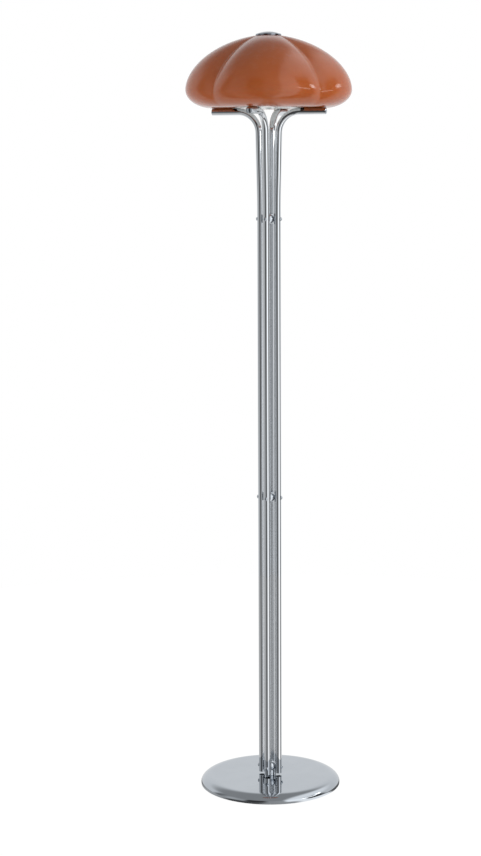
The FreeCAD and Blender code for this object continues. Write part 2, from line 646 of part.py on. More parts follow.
def meridian_points(angle, wall):
    """Upright section of the shade at an angle from a lobe's middle, moved inwards by the wall."""
    share = valley_share(angle)
    widest = SHADE_RADIUS + (SHADE_SEAM_RADIUS - SHADE_RADIUS) * share
    belt = SHADE_WIDEST + (SHADE_SEAM_WIDEST - SHADE_WIDEST) * share
    power = SHADE_CURVE + (SHADE_SEAM_CURVE - SHADE_CURVE) * share
    crown_share = (1 - (CAP_RADIUS / widest) ** power) ** (1 / power)
    rise = (SHADE_CROWN - belt) / crown_share
    start = math.asin((CAP_RADIUS / widest) ** (power / 2))
    section = []
    upper_steps = 9
    for k in range(upper_steps + 1):
        turn = start + (math.pi / 2 - start) * k / upper_steps
        section.append((widest * math.sin(turn) ** (2 / power), belt + rise * max(math.cos(turn), 0.0) ** (2 / power)))
    lower_steps = 6
    drop = belt - (FLANGE_BOTTOM - ARM_HEIGHT)
    for k in range(1, lower_steps + 1):
        turn = math.pi / 2 * k / lower_steps
        section.append((SHADE_FLANGE_RADIUS + (widest - SHADE_FLANGE_RADIUS) * math.cos(turn),
                        belt - drop * math.sin(turn)))
    return moved_in(section, wall)


def moved_in(section, wall):
    """Parallel curve. The two ends move straight down and straight up, on to the inner faces of the lands."""
    moved = []
    last = len(section) - 1
    for k, (r, z) in enumerate(section):
        before = section[max(k - 1, 0)]
        after = section[min(k + 1, last)]
        along = math.hypot(after[0] - before[0], after[1] - before[1])
        normal_r = (before[1] - after[1]) / along
        normal_z = (after[0] - before[0]) / along
        if k == 0:
            normal_r, normal_z = 0.0, 1.0
        elif k == last:
            normal_r, normal_z = 0.0, -1.0
        moved.append(Vector(r - wall * normal_r, 0, ARM_HEIGHT + z - wall * normal_z))
    return moved


def skin(wall):
    """The four lobes of one skin, each a surface through upright sections."""
    seam = 180.0 / LOBES
    angles = [-seam, -0.93 * seam, -0.75 * seam, -0.4 * seam, 0.0, 0.4 * seam, 0.75 * seam, 0.93 * seam, seam]
    sections = []
    for angle in angles:
        curve = Part.BSplineCurve()
        curve.interpolate(meridian_points(angle, wall))
        sections.append(spun(Part.Wire(curve.toShape()), angle))
    lobe = Part.makeLoft(sections, False, False).Faces[0]
    return [spun(lobe, 360.0 / LOBES * k) for k in range(LOBES)]


def edges_at(faces, height):
    """Edges of a skin that lie level at one height."""
    found = []
    for face in faces:
        for edge in face.Edges:
            box = edge.BoundBox
            if abs(box.ZMin - height) < 1e-3 and abs(box.ZMax - height) < 1e-3:
                found.append(edge)
    return Part.Wire(Part.__sortEdges__(found))


def land(outline, radius, height):
    """Flat ring between a skin's edge and a round hole."""
    hole = Part.Wire(Part.makeCircle(radius, Vector(0, 0, height)))
    inside_hole = outline.BoundBox.XMax < radius
    big, small = (hole, outline) if inside_hole else (outline, hole)
    disc = Part.Face(big)
    return disc.cut(Part.Face(small)).Faces[0]


def shade():
    stud_hole = CAP_STUD_DIAMETER / 2 + CAP_HOLE_CLEARANCE
    faces = []
    for wall in (0.0, SHADE_WALL):
        lobes = skin(wall)
        crown = CROWN_HEIGHT - wall
        flange = FLANGE_BOTTOM + wall
        faces += lobes
        faces.append(land(edges_at(lobes, crown), stud_hole, crown))
        faces.append(land(edges_at(lobes, flange), SHADE_OPENING_RADIUS, flange))
    for radius, low in ((stud_hole, CROWN_HEIGHT - SHADE_WALL), (SHADE_OPENING_RADIUS, FLANGE_BOTTOM)):
        wall_face = cylinder(radius, low, low + SHADE_WALL).Faces[0]
        faces.append(wall_face)
    sewn = Part.makeShell(faces)
    sewn.sewShape(0.01)
    solid = Part.Solid(sewn.Shells[0] if sewn.Shells else sewn)
    if solid.Volume < 0:
        solid.reverse()
    return spun(solid, ARM_ANGLES["front"] + SHADE_TURN)


# ---------------------------------------------------------------- crown cap


def crown_cap():
    """Chromed cap with a low dome, a straight edge and a stud down through the crown."""
    stud = CAP_STUD_DIAMETER / 2
    low = CROWN_HEIGHT
    tip = low - SHADE_WALL - CAP_STUD_LENGTH
    shoulder = low + CAP_EDGE
    pole = low + CAP_HEIGHT
    return turned((0, tip), (stud - 0.8, tip), (stud, tip + 0.8), (stud, low), (CAP_RADIUS, low),
                  (CAP_RADIUS, shoulder - 1), (CAP_RADIUS - 0.3, shoulder - 0.3, CAP_RADIUS - 1, shoulder),
                  (*dome(CAP_RADIUS - 1, shoulder, pole), 0, pole))


def crown_washer():
    high = CROWN_HEIGHT - SHADE_WALL
    return ring(CAP_WASHER_RADIUS, CAP_STUD_DIAMETER / 2 + CAP_HOLE_CLEARANCE, high - CAP_WASHER_THICKNESS, high)


def crown_nut():
    high = CROWN_HEIGHT - SHADE_WALL - CAP_WASHER_THICKNESS
    low = high - CAP_NUT_HEIGHT
    nut = hexagon(CAP_NUT_ACROSS, low, high).common(cylinder(CAP_NUT_ACROSS / 2 + 0.9, low, high))
    return nut.cut(cylinder(CAP_STUD_DIAMETER / 2 + DRILL_CLEARANCE, low - 1, high + 1))


# ---------------------------------------------------------------- assembly


def build():
    os.makedirs("parts", exist_ok=True)
    save("floor_pad", cylinder(PAD_RADIUS, 0, PAD_THICKNESS))
    save("base_weight", base_weight())
    save("base_cover", base_cover())
    save("base_bolt", base_bolt())
    save("base_washer", ring(BASE_WASHER_RADIUS, BASE_DRILL_RADIUS, WASHER_TOP - BASE_WASHER_THICKNESS, WASHER_TOP))
    save("base_collar", base_collar())
    save("cord_gland", cord_gland())
    save("lead_bush", lead_bush())
    for level, height in BALL_HEIGHTS.items():
        save("ball_" + level, ball(level))
        save("bolts_" + level, *around(tube_bolt(height), ARM_ANGLES.values()))
    for side in ARM_ANGLES:
        save("tube_" + side, column_tube(side))
    plugged = [angle for side, angle in ARM_ANGLES.items() if side != "back"]
    save("foot_plugs", *around(foot_plug(), plugged))
    save("arm_plugs", *around(arm_plug(), ARM_ANGLES.values()))
    save("arm_pins", *around(arm_pin(), ARM_ANGLES.values()))
    save("holder_plate", holder_plate())
    save("plate_screws", *around(plate_screw(), ARM_ANGLES.values()))
    save("holder_bolt", holder_bolt())
    save("lampholder_base", lampholder_base())
    save("lampholder_skirt", lampholder_skirt())
    save("socket_core", socket_core())
    save("socket_sleeve", socket_sleeve())
    save("socket_contact", socket_contact())
    save("bulb_contact", bulb_contact())
    save("bulb_insulator", bulb_insulator())
    save("bulb_cap", bulb_cap())
    save("bulb_glass", bulb_glass())
    save("bulb_mount", bulb_mount())
    save("inner_lead", inner_lead())
    save("shade", shade())
    save("crown_cap", crown_cap())
    save("crown_washer", crown_washer())
    save("crown_nut", crown_nut())


build()
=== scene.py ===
import math
from functools import partialmethod

import bmesh
import bpy
from mathutils import Matrix, Vector


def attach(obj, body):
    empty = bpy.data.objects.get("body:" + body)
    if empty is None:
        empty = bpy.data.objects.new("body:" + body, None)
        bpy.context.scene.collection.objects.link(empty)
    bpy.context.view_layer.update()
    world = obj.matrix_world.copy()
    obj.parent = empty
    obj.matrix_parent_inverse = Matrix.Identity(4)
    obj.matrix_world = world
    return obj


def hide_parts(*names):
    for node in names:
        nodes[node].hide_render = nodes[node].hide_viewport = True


# Looks of the mushroom floor lamp. Lengths are in metres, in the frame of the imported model.
# The four tubes stand on +X, +Y, -X and -Y of the axis. The camera looks from -Y, turned towards +X.

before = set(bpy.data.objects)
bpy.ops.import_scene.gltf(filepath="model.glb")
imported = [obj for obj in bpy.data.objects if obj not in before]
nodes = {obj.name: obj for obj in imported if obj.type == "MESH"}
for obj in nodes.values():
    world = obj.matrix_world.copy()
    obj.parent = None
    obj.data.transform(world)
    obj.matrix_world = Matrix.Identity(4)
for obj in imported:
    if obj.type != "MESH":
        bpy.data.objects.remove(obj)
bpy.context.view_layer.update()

# ---------------------------------------------------------------- sizes

MM = 0.001
LOBES = 4
QUARTER = math.pi / 2

# base
BASE_RADIUS = 160 * MM
BASE_HEIGHT = 20 * MM
BASE_FLAT_RADIUS = 133 * MM
BASE_DRILL_RADIUS = 5.1 * MM
COVER_SHEET = 1.5 * MM
COVER_FLOOR_GAP = 1.5 * MM
COVER_LIP = 3 * MM
COVER_MIDWAY = 0.5
PAD_RADIUS = 150 * MM
PAD_THICKNESS = 3 * MM
PAD_EDGE = 0.6 * MM

# column
TUBE_RADIUS = 7.5 * MM
TUBE_WALL = 1.2 * MM
BALL_RADIUS = 13 * MM
PITCH_RADIUS = 20 * MM
BALL_HEIGHTS = {"lower": 39 * MM, "middle": 670.5 * MM, "upper": 1302 * MM}
COLLAR_RADIUS = 10 * MM
COLLAR_SPREAD = 1 * MM
GROOVE_HEIGHT, GROOVE_RISE, GROOVE_DEPTH = 1.6 * MM, 1.2 * MM, 0.8 * MM
TUBE_FOOT = 24.4 * MM
LEAN_START = 1342 * MM
LEAN_SLOPE = 0.023
LEAN_BEND = 2.5
ARM_HEIGHT = 1540 * MM
ARM_END = 132 * MM
ARM_DOME = 3 * MM
ARM_BEND = 48 * MM
ARM_TOP = ARM_HEIGHT + TUBE_RADIUS
ARM_ANGLES = {"right": 0.0, "back": QUARTER, "left": 2 * QUARTER, "front": 3 * QUARTER}
LEAN_TOP = PITCH_RADIUS + (ARM_HEIGHT - LEAN_START) * LEAN_SLOPE
BOLT_HEAD_RADIUS = 4.5 * MM
BOLT_HEAD_HEIGHT = 3 * MM
BOLT_BEDDING = 1.6 * MM
RIM = 0.6 * MM
PLUG_DEPTH = 8 * MM
PLUG_FIT_RADIUS = 6.2 * MM
PIN_CIRCLE = 79 * MM
PIN_RADIUS = 2.5 * MM
PIN_RISE = 6 * MM
PIN_SUNK = 2.2 * MM
PIN_DOME = 1 * MM

# holder
PLATE_TOP = 1550 * MM
SCREW_CIRCLE = 70.5 * MM
SCREW_HEAD_RADIUS = 3.5 * MM
SCREW_HEAD_HEIGHT = 2.2 * MM
SCREW_RADIUS = 2 * MM
SCREW_LENGTH = 8 * MM
SCREW_SLOT = (10 * MM, 0.9 * MM, 2.2 * MM, 1)
HOLDER_RADIUS = 19 * MM
HOLDER_HEIGHT = 13 * MM
HOLDER_WALL = 2.5 * MM
HOLDER_INSIDE = HOLDER_RADIUS - HOLDER_WALL
HOLDER_TOP = PLATE_TOP + HOLDER_HEIGHT
HOLDER_HOLE = 3.1 * MM
HOLDER_CORNER = 2 * MM
SKIRT_GAP = 1.5 * MM
SKIRT_RADIUS = 20 * MM
SKIRT_HEIGHT = 33 * MM
SKIRT_BAND = 6 * MM
SKIRT_CLEARANCE = 0.3 * MM
SKIRT_RIBS = 48
RIB_DEPTH = 0.7 * MM
SOCKET_RADIUS = 13.55 * MM
SLEEVE_WALL = 0.5 * MM
SLEEVE_PLAY = 0.1 * MM
CORE_TOP = 1567 * MM
SLEEVE_HEIGHT = 24 * MM

# bulb
BULB_FOOT = 1568.95 * MM
BULB_CAP_RADIUS = 13.2 * MM
BULB_CAP_HEIGHT = 24 * MM
BULB_CAP_TOP = BULB_FOOT + BULB_CAP_HEIGHT
BULB_CAP_FOOT = BULB_FOOT + 4.8 * MM
BULB_LENGTH = 105 * MM
BULB_RADIUS = 30 * MM
BULB_NECK = 12.6 * MM
BULB_NECK_TOP = BULB_CAP_TOP + 5 * MM
BULB_GLASS_FOOT = BULB_CAP_TOP - 4 * MM
BULB_WALL = 0.9 * MM
BULB_FLARE_ANGLE = -27
BULB_FLARE_SHARE = 0.45
THREAD_PITCH = 3.6 * MM

# wire
LEAD_RADIUS = 1.6 * MM
LEAD_SIDE = 4.4 * MM
LEAD_RUN = 8 * MM
LEAD_EXIT = 56 * MM
LEAD_CLEARANCE = 0.8 * MM
LEAD_FOOT_BEND, LEAD_EXIT_BEND, LEAD_ENTRY_BEND = 9 * MM, 8 * MM, 7 * MM
GLAND_BORE = 1.8 * MM
GLAND_NECK = 3 * MM
GLAND_FLANGE = 4.4 * MM
GLAND_DEPTH = 3.5 * MM

# shade
SHADE_RADIUS = 185 * MM
SHADE_SEAM_RADIUS = 165 * MM
SHADE_WALL = 3 * MM
SHADE_EDGE = 0.5 * MM
SHADE_CROWN = 166 * MM
SHADE_WIDEST = 48 * MM
SHADE_SEAM_WIDEST = 38 * MM
SHADE_CURVE = 1.82
SHADE_SEAM_CURVE = 1.6
SHADE_FLANGE_RADIUS = 125 * MM
SHADE_OPENING = 83 * MM
SHADE_HOLE = 4.3 * MM
SHADE_TURN = math.radians(16.5)
VALLEY_SOFTNESS = math.radians(2)
VALLEY_POWER = 8.0
CROWN_HEIGHT = ARM_HEIGHT + SHADE_CROWN
CAP_RADIUS = 28.5 * MM
CAP_EDGE = 3.5 * MM
CAP_HEIGHT = 9 * MM
CAP_ROUND = 1 * MM
CAP_EASE = 0.4 * MM
STUD_RADIUS = 4 * MM
STUD_CHAMFER = 0.8 * MM
STUD_LENGTH = 14 * MM
STUD_TIP = CROWN_HEIGHT - SHADE_WALL - STUD_LENGTH

# meshes
CREASE_ANGLE = 40.0
FINE_CREASE_ANGLE = 30
SHADE_CREASE_ANGLE = 50
BEVEL_ANGLE = math.radians(60)
ON_AXIS = 1e-7

# ---------------------------------------------------------------- node helpers


class Figure:
    """A number in a node tree, worked out with ordinary arithmetic."""

    def __init__(self, tree, socket):
        self.tree = tree
        self.socket = socket

    def math(self, operation, *others):
        step = self.tree.nodes.new("ShaderNodeMath")
        step.operation = operation
        for slot, value in zip(step.inputs, (self,) + others):
            if isinstance(value, Figure):
                self.tree.links.new(value.socket, slot)
            else:
                slot.default_value = value
        return Figure(self.tree, step.outputs[0])

    __add__ = __radd__ = partialmethod(math, "ADD")
    __sub__ = partialmethod(math, "SUBTRACT")
    __mul__ = partialmethod(math, "MULTIPLY")
    __truediv__ = partialmethod(math, "DIVIDE")
    __pow__ = partialmethod(math, "POWER")
    __rsub__ = partialmethod(math, "MULTIPLY_ADD", -1.0)
    below = partialmethod(math, "LESS_THAN")

    def share(self, start, end):
        """0 at start, 1 at end, held outside."""
        ramp = self.tree.nodes.new("ShaderNodeMapRange")
        self.tree.links.new(self.socket, ramp.inputs["Value"])
        ramp.inputs["From Min"].default_value = start
        ramp.inputs["From Max"].default_value = end
        return Figure(self.tree, ramp.outputs[0])

    def soft(self, start, end):
        """The same with soft ends."""
        ramp = self.share(start, end)
        ramp.socket.node.interpolation_type = "SMOOTHSTEP"
        return ramp


def add(tree, kind, inputs=(), **settings):
    """New node with its settings and its inputs, each a value, a socket or a Figure."""
    made = tree.nodes.new(kind)
    for name, value in settings.items():
        setattr(made, name, value)
    for name, value in dict(inputs).items():
        if isinstance(value, Figure):
            value = value.socket
        if isinstance(value, bpy.types.NodeSocket):
            tree.links.new(value, made.inputs[name])
        else:
            made.inputs[name].default_value = value
    return made


SOCKETS = {float: "NodeSocketFloat", int: "NodeSocketInt", bool: "NodeSocketBool",
           tuple: "NodeSocketColor", Vector: "NodeSocketVector"}


def new_group(name, kind, inputs, outputs):
    """Node tree with named inputs and outputs; returns it, its input node and its output node."""
    tree = bpy.data.node_groups.new(name, kind)
    for label, value in inputs.items():
        if value is None:
            tree.interface.new_socket(label, in_out="INPUT", socket_type="NodeSocketGeometry")
        elif value is bpy.types.Material:
            tree.interface.new_socket(label, in_out="INPUT", socket_type="NodeSocketMaterial")
        else:
            socket = tree.interface.new_socket(label, in_out="INPUT", socket_type=SOCKETS[type(value)])
            socket.default_value = value
    for label, kind_of_socket in outputs.items():
        tree.interface.new_socket(label, in_out="OUTPUT", socket_type=kind_of_socket)
    return tree, tree.nodes.new("NodeGroupInput"), tree.nodes.new("NodeGroupOutput")


# ---------------------------------------------------------------- shader groups

TINT_PATCHES = (0.35, 0.65)
ROUGH_PATCHES = (0.3, 0.7)
DUST_SLOPES = (0.2, 1.0)
DUST_PATCHES = (0.45, 0.75)
DUST_COLOUR = (0.62, 0.60, 0.57, 1)


def stretched_place(tree, stretch):
    """The object's own coordinates, stretched."""
    place = add(tree, "ShaderNodeTexCoord")
    return add(tree, "ShaderNodeVectorMath", {0: place.outputs["Object"], 1: stretch},
               operation="MULTIPLY").outputs[0]


def noise(tree, place, scale, detail, roughness=0.5):
    return add(tree, "ShaderNodeTexNoise", {"Vector": place, "Scale": scale, "Detail": detail,
                                            "Roughness": roughness}).outputs[0]


def mixed_colour(tree, share, first, second):
    """Colour between two; the numbers are the Mix node's own sockets for colours."""
    return add(tree, "ShaderNodeMix", {0: share, 6: first, 7: second}, data_type="RGBA").outputs[2]


def tint_group():
    """Mixes two colours in soft, uneven patches."""
    tree, given, result = new_group("uneven_tint", "ShaderNodeTree",
                                    {"Colour": (0.5, 0.5, 0.5, 1), "Other": (0.4, 0.4, 0.4, 1),
                                     "Scale": 20.0, "Stretch": Vector((1, 1, 1))},
                                    {"Colour": "NodeSocketColor"})
    place = stretched_place(tree, given.outputs["Stretch"])
    patches = noise(tree, place, given.outputs["Scale"], 5.0, 0.55)
    share = Figure(tree, patches).soft(*TINT_PATCHES)
    mix = mixed_colour(tree, share, given.outputs["Colour"], given.outputs["Other"])
    tree.links.new(mix, result.inputs["Colour"])
    return tree


def finish_group():
    """Roughness that varies over the surface, and a fine relief."""
    tree, given, result = new_group("surface_finish", "ShaderNodeTree",
                                    {"Smooth": 0.05, "Rough": 0.12, "Scale": 30.0,
                                     "Stretch": Vector((1, 1, 1)), "Relief Scale": 400.0,
                                     "Relief": 0.05, "Depth": 0.0002},
                                    {"Roughness": "NodeSocketFloat", "Normal": "NodeSocketVector"})
    place = stretched_place(tree, given.outputs["Stretch"])
    broad = noise(tree, place, given.outputs["Scale"], 4.0)
    fine = noise(tree, place, given.outputs["Relief Scale"], 3.0)
    smooth = Figure(tree, given.outputs["Smooth"])
    rough = Figure(tree, given.outputs["Rough"])
    value = smooth + (rough - smooth) * Figure(tree, broad).soft(*ROUGH_PATCHES)
    bump = add(tree, "ShaderNodeBump", {"Strength": given.outputs["Relief"],
                                        "Distance": given.outputs["Depth"], "Height": fine})
    tree.links.new(value.socket, result.inputs["Roughness"])
    tree.links.new(bump.outputs[0], result.inputs["Normal"])
    return tree


def dust_group():
    """Thin film of dust that gathers on faces that look up, in patches."""
    tree, given, result = new_group("settled_dust", "ShaderNodeTree",
                                    {"Colour": (0.8, 0.8, 0.8, 1), "Amount": 0.1, "Scale": 60.0},
                                    {"Colour": "NodeSocketColor"})
    place = add(tree, "ShaderNodeTexCoord")
    up = add(tree, "ShaderNodeSeparateXYZ", {0: add(tree, "ShaderNodeNewGeometry").outputs["Normal"]})
    patches = noise(tree, place.outputs["Object"], given.outputs["Scale"], 6.0, 0.7)
    share = (Figure(tree, up.outputs["Z"]).soft(*DUST_SLOPES)
             * Figure(tree, patches).soft(*DUST_PATCHES) * Figure(tree, given.outputs["Amount"]))
    mix = mixed_colour(tree, share, given.outputs["Colour"], DUST_COLOUR)
    tree.links.new(mix, result.inputs["Colour"])
    return tree


TINT = tint_group()
FINISH = finish_group()
DUST = dust_group()

# ---------------------------------------------------------------- materials


def material(name, colour, other, roughness, tint_scale=20.0, scale=30.0, stretch=(1, 1, 1),
             relief_scale=400.0, relief=0.05, depth=0.0002, dust=0.0, **constants):
    """Uneven colour, roughness between two values, and relief; constants are the shader's own sockets."""
    made = bpy.data.materials.new(name)
    made.use_nodes = True
    tree = made.node_tree
    shader = tree.nodes["Principled BSDF"]
    for socket, value in constants.items():
        shader.inputs[socket.replace("_", " ")].default_value = value
    tint = add(tree, "ShaderNodeGroup",
               {"Colour": (*colour, 1.0), "Other": (*other, 1.0), "Scale": tint_scale,
                "Stretch": stretch}, node_tree=TINT)
    finish = add(tree, "ShaderNodeGroup",
                 {"Smooth": roughness[0], "Rough": roughness[1], "Scale": scale, "Stretch": stretch,
                  "Relief Scale": relief_scale, "Relief": relief, "Depth": depth}, node_tree=FINISH)
    base = tint.outputs["Colour"]
    if dust:
        base = add(tree, "ShaderNodeGroup", {"Amount": dust, "Colour": base},
                   node_tree=DUST).outputs["Colour"]
    tree.links.new(base, shader.inputs["Base Color"])
    tree.links.new(finish.outputs["Roughness"], shader.inputs["Roughness"])
    tree.links.new(finish.outputs["Normal"], shader.inputs["Normal"])
    return made


CHROME = material("mirror_chrome", (0.50, 0.53, 0.565), (0.48, 0.51, 0.545), (0.02, 0.05),
                  scale=14.0, relief_scale=900.0, relief=0.02, depth=0.00005, dust=0.05, Metallic=1.0)
# the crown cap is the same chrome as the rest; its darker colour is a painted dark reflection of the room
# above it
PAINTED_DARK_CAP_CHROME = material("dark_cap_chrome", (0.27, 0.29, 0.32), (0.25, 0.27, 0.30), (0.02, 0.05),
                      scale=60.0, relief_scale=900.0, relief=0.02, depth=0.00005, Metallic=1.0)
TUBE_CHROME = material("drawn_tube_chrome", (0.72, 0.74, 0.76), (0.69, 0.71, 0.735), (0.01, 0.03),
                       scale=40.0, stretch=(1, 1, 0.03), relief_scale=700.0, relief=0.03,
                       depth=0.00005, Metallic=1.0)
ZINC = material("zinc_plate", (0.60, 0.61, 0.58), (0.48, 0.50, 0.50), (0.25, 0.45),
                tint_scale=150.0, relief=0.15, Metallic=1.0)
ENAMEL = material("white_enamel", (0.82, 0.81, 0.78), (0.78, 0.77, 0.73), (0.22, 0.35),
                  tint_scale=30.0, relief_scale=900.0, relief=0.08, depth=0.0001, Coat_Weight=0.3)
CAST_IRON = material("cast_iron", (0.10, 0.10, 0.10), (0.16, 0.14, 0.13), (0.55, 0.8),
                     tint_scale=60.0, relief_scale=350.0, relief=0.7, depth=0.0006, Metallic=0.6)
FELT = material("pad_felt", (0.035, 0.035, 0.037), (0.06, 0.06, 0.06), (0.85, 1.0),
                relief_scale=1500.0, relief=0.6, depth=0.0005, Sheen_Weight=0.4)
RUBBER = material("black_rubber", (0.02, 0.02, 0.02), (0.035, 0.034, 0.033), (0.5, 0.7),
                  tint_scale=80.0, relief_scale=900.0, relief=0.2)
NYLON = material("black_nylon", (0.025, 0.025, 0.027), (0.04, 0.04, 0.04), (0.35, 0.5),
                 tint_scale=80.0, relief_scale=900.0, relief=0.15)
PHENOLIC = material("dark_phenolic", (0.035, 0.022, 0.016), (0.06, 0.035, 0.024), (0.18, 0.32),
                    tint_scale=60.0, relief_scale=300.0, relief=0.06, Coat_Weight=0.4)
CERAMIC = material("glazed_ceramic", (0.80, 0.77, 0.70), (0.72, 0.69, 0.62), (0.15, 0.3),
                   tint_scale=200.0, relief_scale=500.0, relief=0.1, Coat_Weight=0.5)
BRASS = material("plain_brass", (0.72, 0.52, 0.23), (0.55, 0.38, 0.17), (0.2, 0.4),
                 tint_scale=120.0, relief=0.1, Metallic=1.0)
NICKEL = material("nickel_plate", (0.70, 0.67, 0.60), (0.60, 0.57, 0.50), (0.18, 0.35),
                  tint_scale=120.0, relief=0.1, Metallic=1.0)
SOLDER = material("solder", (0.45, 0.45, 0.45), (0.34, 0.34, 0.35), (0.35, 0.55),
                  tint_scale=400.0, relief=0.4, Metallic=1.0)
VITRITE = material("black_glass", (0.02, 0.015, 0.03), (0.03, 0.02, 0.04), (0.08, 0.15),
                   Coat_Weight=0.6)
OPAL = material("opal_glass", (0.90, 0.89, 0.86), (0.86, 0.85, 0.82), (0.18, 0.3), tint_scale=40.0,
                relief_scale=800.0, relief=0.03, Coat_Weight=0.5, Transmission_Weight=0.35)
CLEAR_GLASS = material("clear_glass", (0.92, 0.95, 0.94), (0.90, 0.93, 0.92), (0.02, 0.05),
                       Transmission_Weight=0.95)
SLEEVING = material("wire_sleeving", (0.74, 0.72, 0.66), (0.62, 0.60, 0.54), (0.5, 0.65),
                    tint_scale=900.0, relief_scale=1600.0, relief=0.5, depth=0.0003)
# moulded, lightly translucent and polished
ACRYLIC = material("caramel_acrylic", (0.40, 0.094, 0.022), (0.35, 0.080, 0.018), (0.11, 0.18),
                   tint_scale=7.0, scale=9.0, relief_scale=35.0, relief=0.05, depth=0.0006, dust=0.05,
                   IOR=1.49, Coat_Weight=0.0, Subsurface_Weight=0.25, Subsurface_Scale=0.004,
                   Subsurface_Radius=(1.0, 0.35, 0.15))

# ---------------------------------------------------------------- mesh helpers


def new_object(name, mesh):
    made = bpy.data.objects.new(name, mesh)
    bpy.context.scene.collection.objects.link(made)
    return made


def baked(thing):
    """Replaces an object's mesh by what its modifiers make, and removes them."""
    evaluated = thing.evaluated_get(bpy.context.evaluated_depsgraph_get())
    mesh = bpy.data.meshes.new_from_object(evaluated)
    thing.modifiers.clear()
    thing.data = mesh
    return thing


def mesh_of(thing):
    """Keeps an object's mesh and removes the object."""
    mesh = thing.data
    bpy.data.objects.remove(thing)
    return mesh


def smooth_shaded(thing, sharp_degrees=CREASE_ANGLE):
    mesh = thing.data
    mesh.shade_smooth()
    mesh.set_sharp_from_angle(angle=math.radians(sharp_degrees))
    return thing


def placed(thing, body, finish, cad_node):
    """Gives a finished piece its material and its body, and hides the solid it stands for."""
    thing.data.materials.clear()
    thing.data.materials.append(finish)
    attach(thing, body)
    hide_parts(cad_node)
    return thing


def turned(name, profile, segments=96):
    """Closed mesh turned about Z from a list of (radius, height); points on the axis become one."""
    mesh = bpy.data.meshes.new(name)
    bm = bmesh.new()
    rings = []
    for radius, height in profile:
        if radius < ON_AXIS:
            rings.append([bm.verts.new((0, 0, height))])
            continue
        rings.append([bm.verts.new((radius * math.cos(2 * math.pi * k / segments),
                                    radius * math.sin(2 * math.pi * k / segments), height))
                      for k in range(segments)])
    pairs = list(zip(rings, rings[1:]))
    if len(rings[0]) > 1 and len(rings[-1]) > 1:
        pairs.append((rings[-1], rings[0]))
    for low, high in pairs:
        for k in range(segments):
            after = (k + 1) % segments
            corners = [low[k % len(low)], low[after % len(low)],
                       high[after % len(high)], high[k % len(high)]]
            unique = [v for i, v in enumerate(corners) if v not in corners[:i]]
            if len(unique) > 2:
                bm.faces.new(unique)
    bmesh.ops.recalc_face_normals(bm, faces=bm.faces)
    bm.to_mesh(mesh)
    bm.free()
    return new_object(name, mesh)


def arc(centre_r, centre_z, radius_r, radius_z, start, end, steps):
    """Points on an ellipse's arc; angles in degrees from +r towards +z."""
    points = []
    for k in range(steps + 1):
        turn = math.radians(start + (end - start) * k / steps)
        points.append((centre_r + radius_r * math.cos(turn), centre_z + radius_z * math.sin(turn)))
    return points


def round_edge(centre_r, centre_z, radius, start, end, steps):
    return arc(centre_r, centre_z, radius, radius, start, end, steps)


def dome(radius, edge, pole, steps=12):
    """Points of a spherical cap from its rim to its pole."""
    height = pole - edge
    sphere = (radius ** 2 + height ** 2) / (2 * height)
    half = math.asin(min(radius / sphere, 1.0))
    centre = pole - sphere
    turns = [half * (1 - k / steps) for k in range(steps + 1)]
    return [(sphere * math.sin(turn), centre + sphere * math.cos(turn)) for turn in turns]


def moved(thing, matrix):
    thing.data.transform(matrix)
    return thing


def laid(thing, x, height):
    """Lays a piece made round Z along +X and moves it to its place."""
    return moved(thing, Matrix.Translation((x, 0, height)) @ Matrix.Rotation(QUARTER, 4, "Y"))


# ---------------------------------------------------------------- geometry trees


def run_tree(name, mesh, tree, finish, **values):
    """Runs a geometry tree on a mesh with the given inputs and keeps the plain result."""
    thing = new_object(name, mesh)
    modifier = thing.modifiers.new("shape", "NODES")
    modifier.node_group = tree
    for item in tree.interface.items_tree:
        if item.item_type == "SOCKET" and item.in_out == "INPUT":
            if item.name == "Finish":
                modifier[item.identifier] = finish
            elif item.name.replace(" ", "_") in values:
                modifier[item.identifier] = values[item.name.replace(" ", "_")]
    return baked(thing)


def shape_group(name, inputs):
    """Geometry tree that takes a mesh, sizes and a material."""
    return new_group(name, "GeometryNodeTree",
                     {"Geometry": None, **inputs, "Finish": bpy.types.Material},
                     {"Geometry": "NodeSocketGeometry"})


def ended(tree, geometry, given, result):
    """Realises the instances, sets the material and joins the tree's output."""
    real = add(tree, "GeometryNodeRealizeInstances", {"Geometry": geometry})
    painted = add(tree, "GeometryNodeSetMaterial", {
        "Geometry": real.outputs[0], "Material": given.outputs["Finish"]})
    tree.links.new(painted.outputs[0], result.inputs["Geometry"])
    return tree


def ring_tree():
    """Repeats the given piece round the axis."""
    tree, given, result = shape_group("ring_of_pieces", {"Count": LOBES})
    points = add(tree, "GeometryNodePoints", {"Count": given.outputs["Count"]})
    index = Figure(tree, add(tree, "GeometryNodeInputIndex").outputs[0])
    turn = index * (2 * math.pi) / Figure(tree, given.outputs["Count"])
    rotation = add(tree, "ShaderNodeCombineXYZ", {"Z": turn})
    copies = add(tree, "GeometryNodeInstanceOnPoints", {
        "Points": points.outputs[0], "Instance": given.outputs["Geometry"],
        "Rotation": rotation.outputs[0]})
    return ended(tree, copies.outputs[0], given, result)


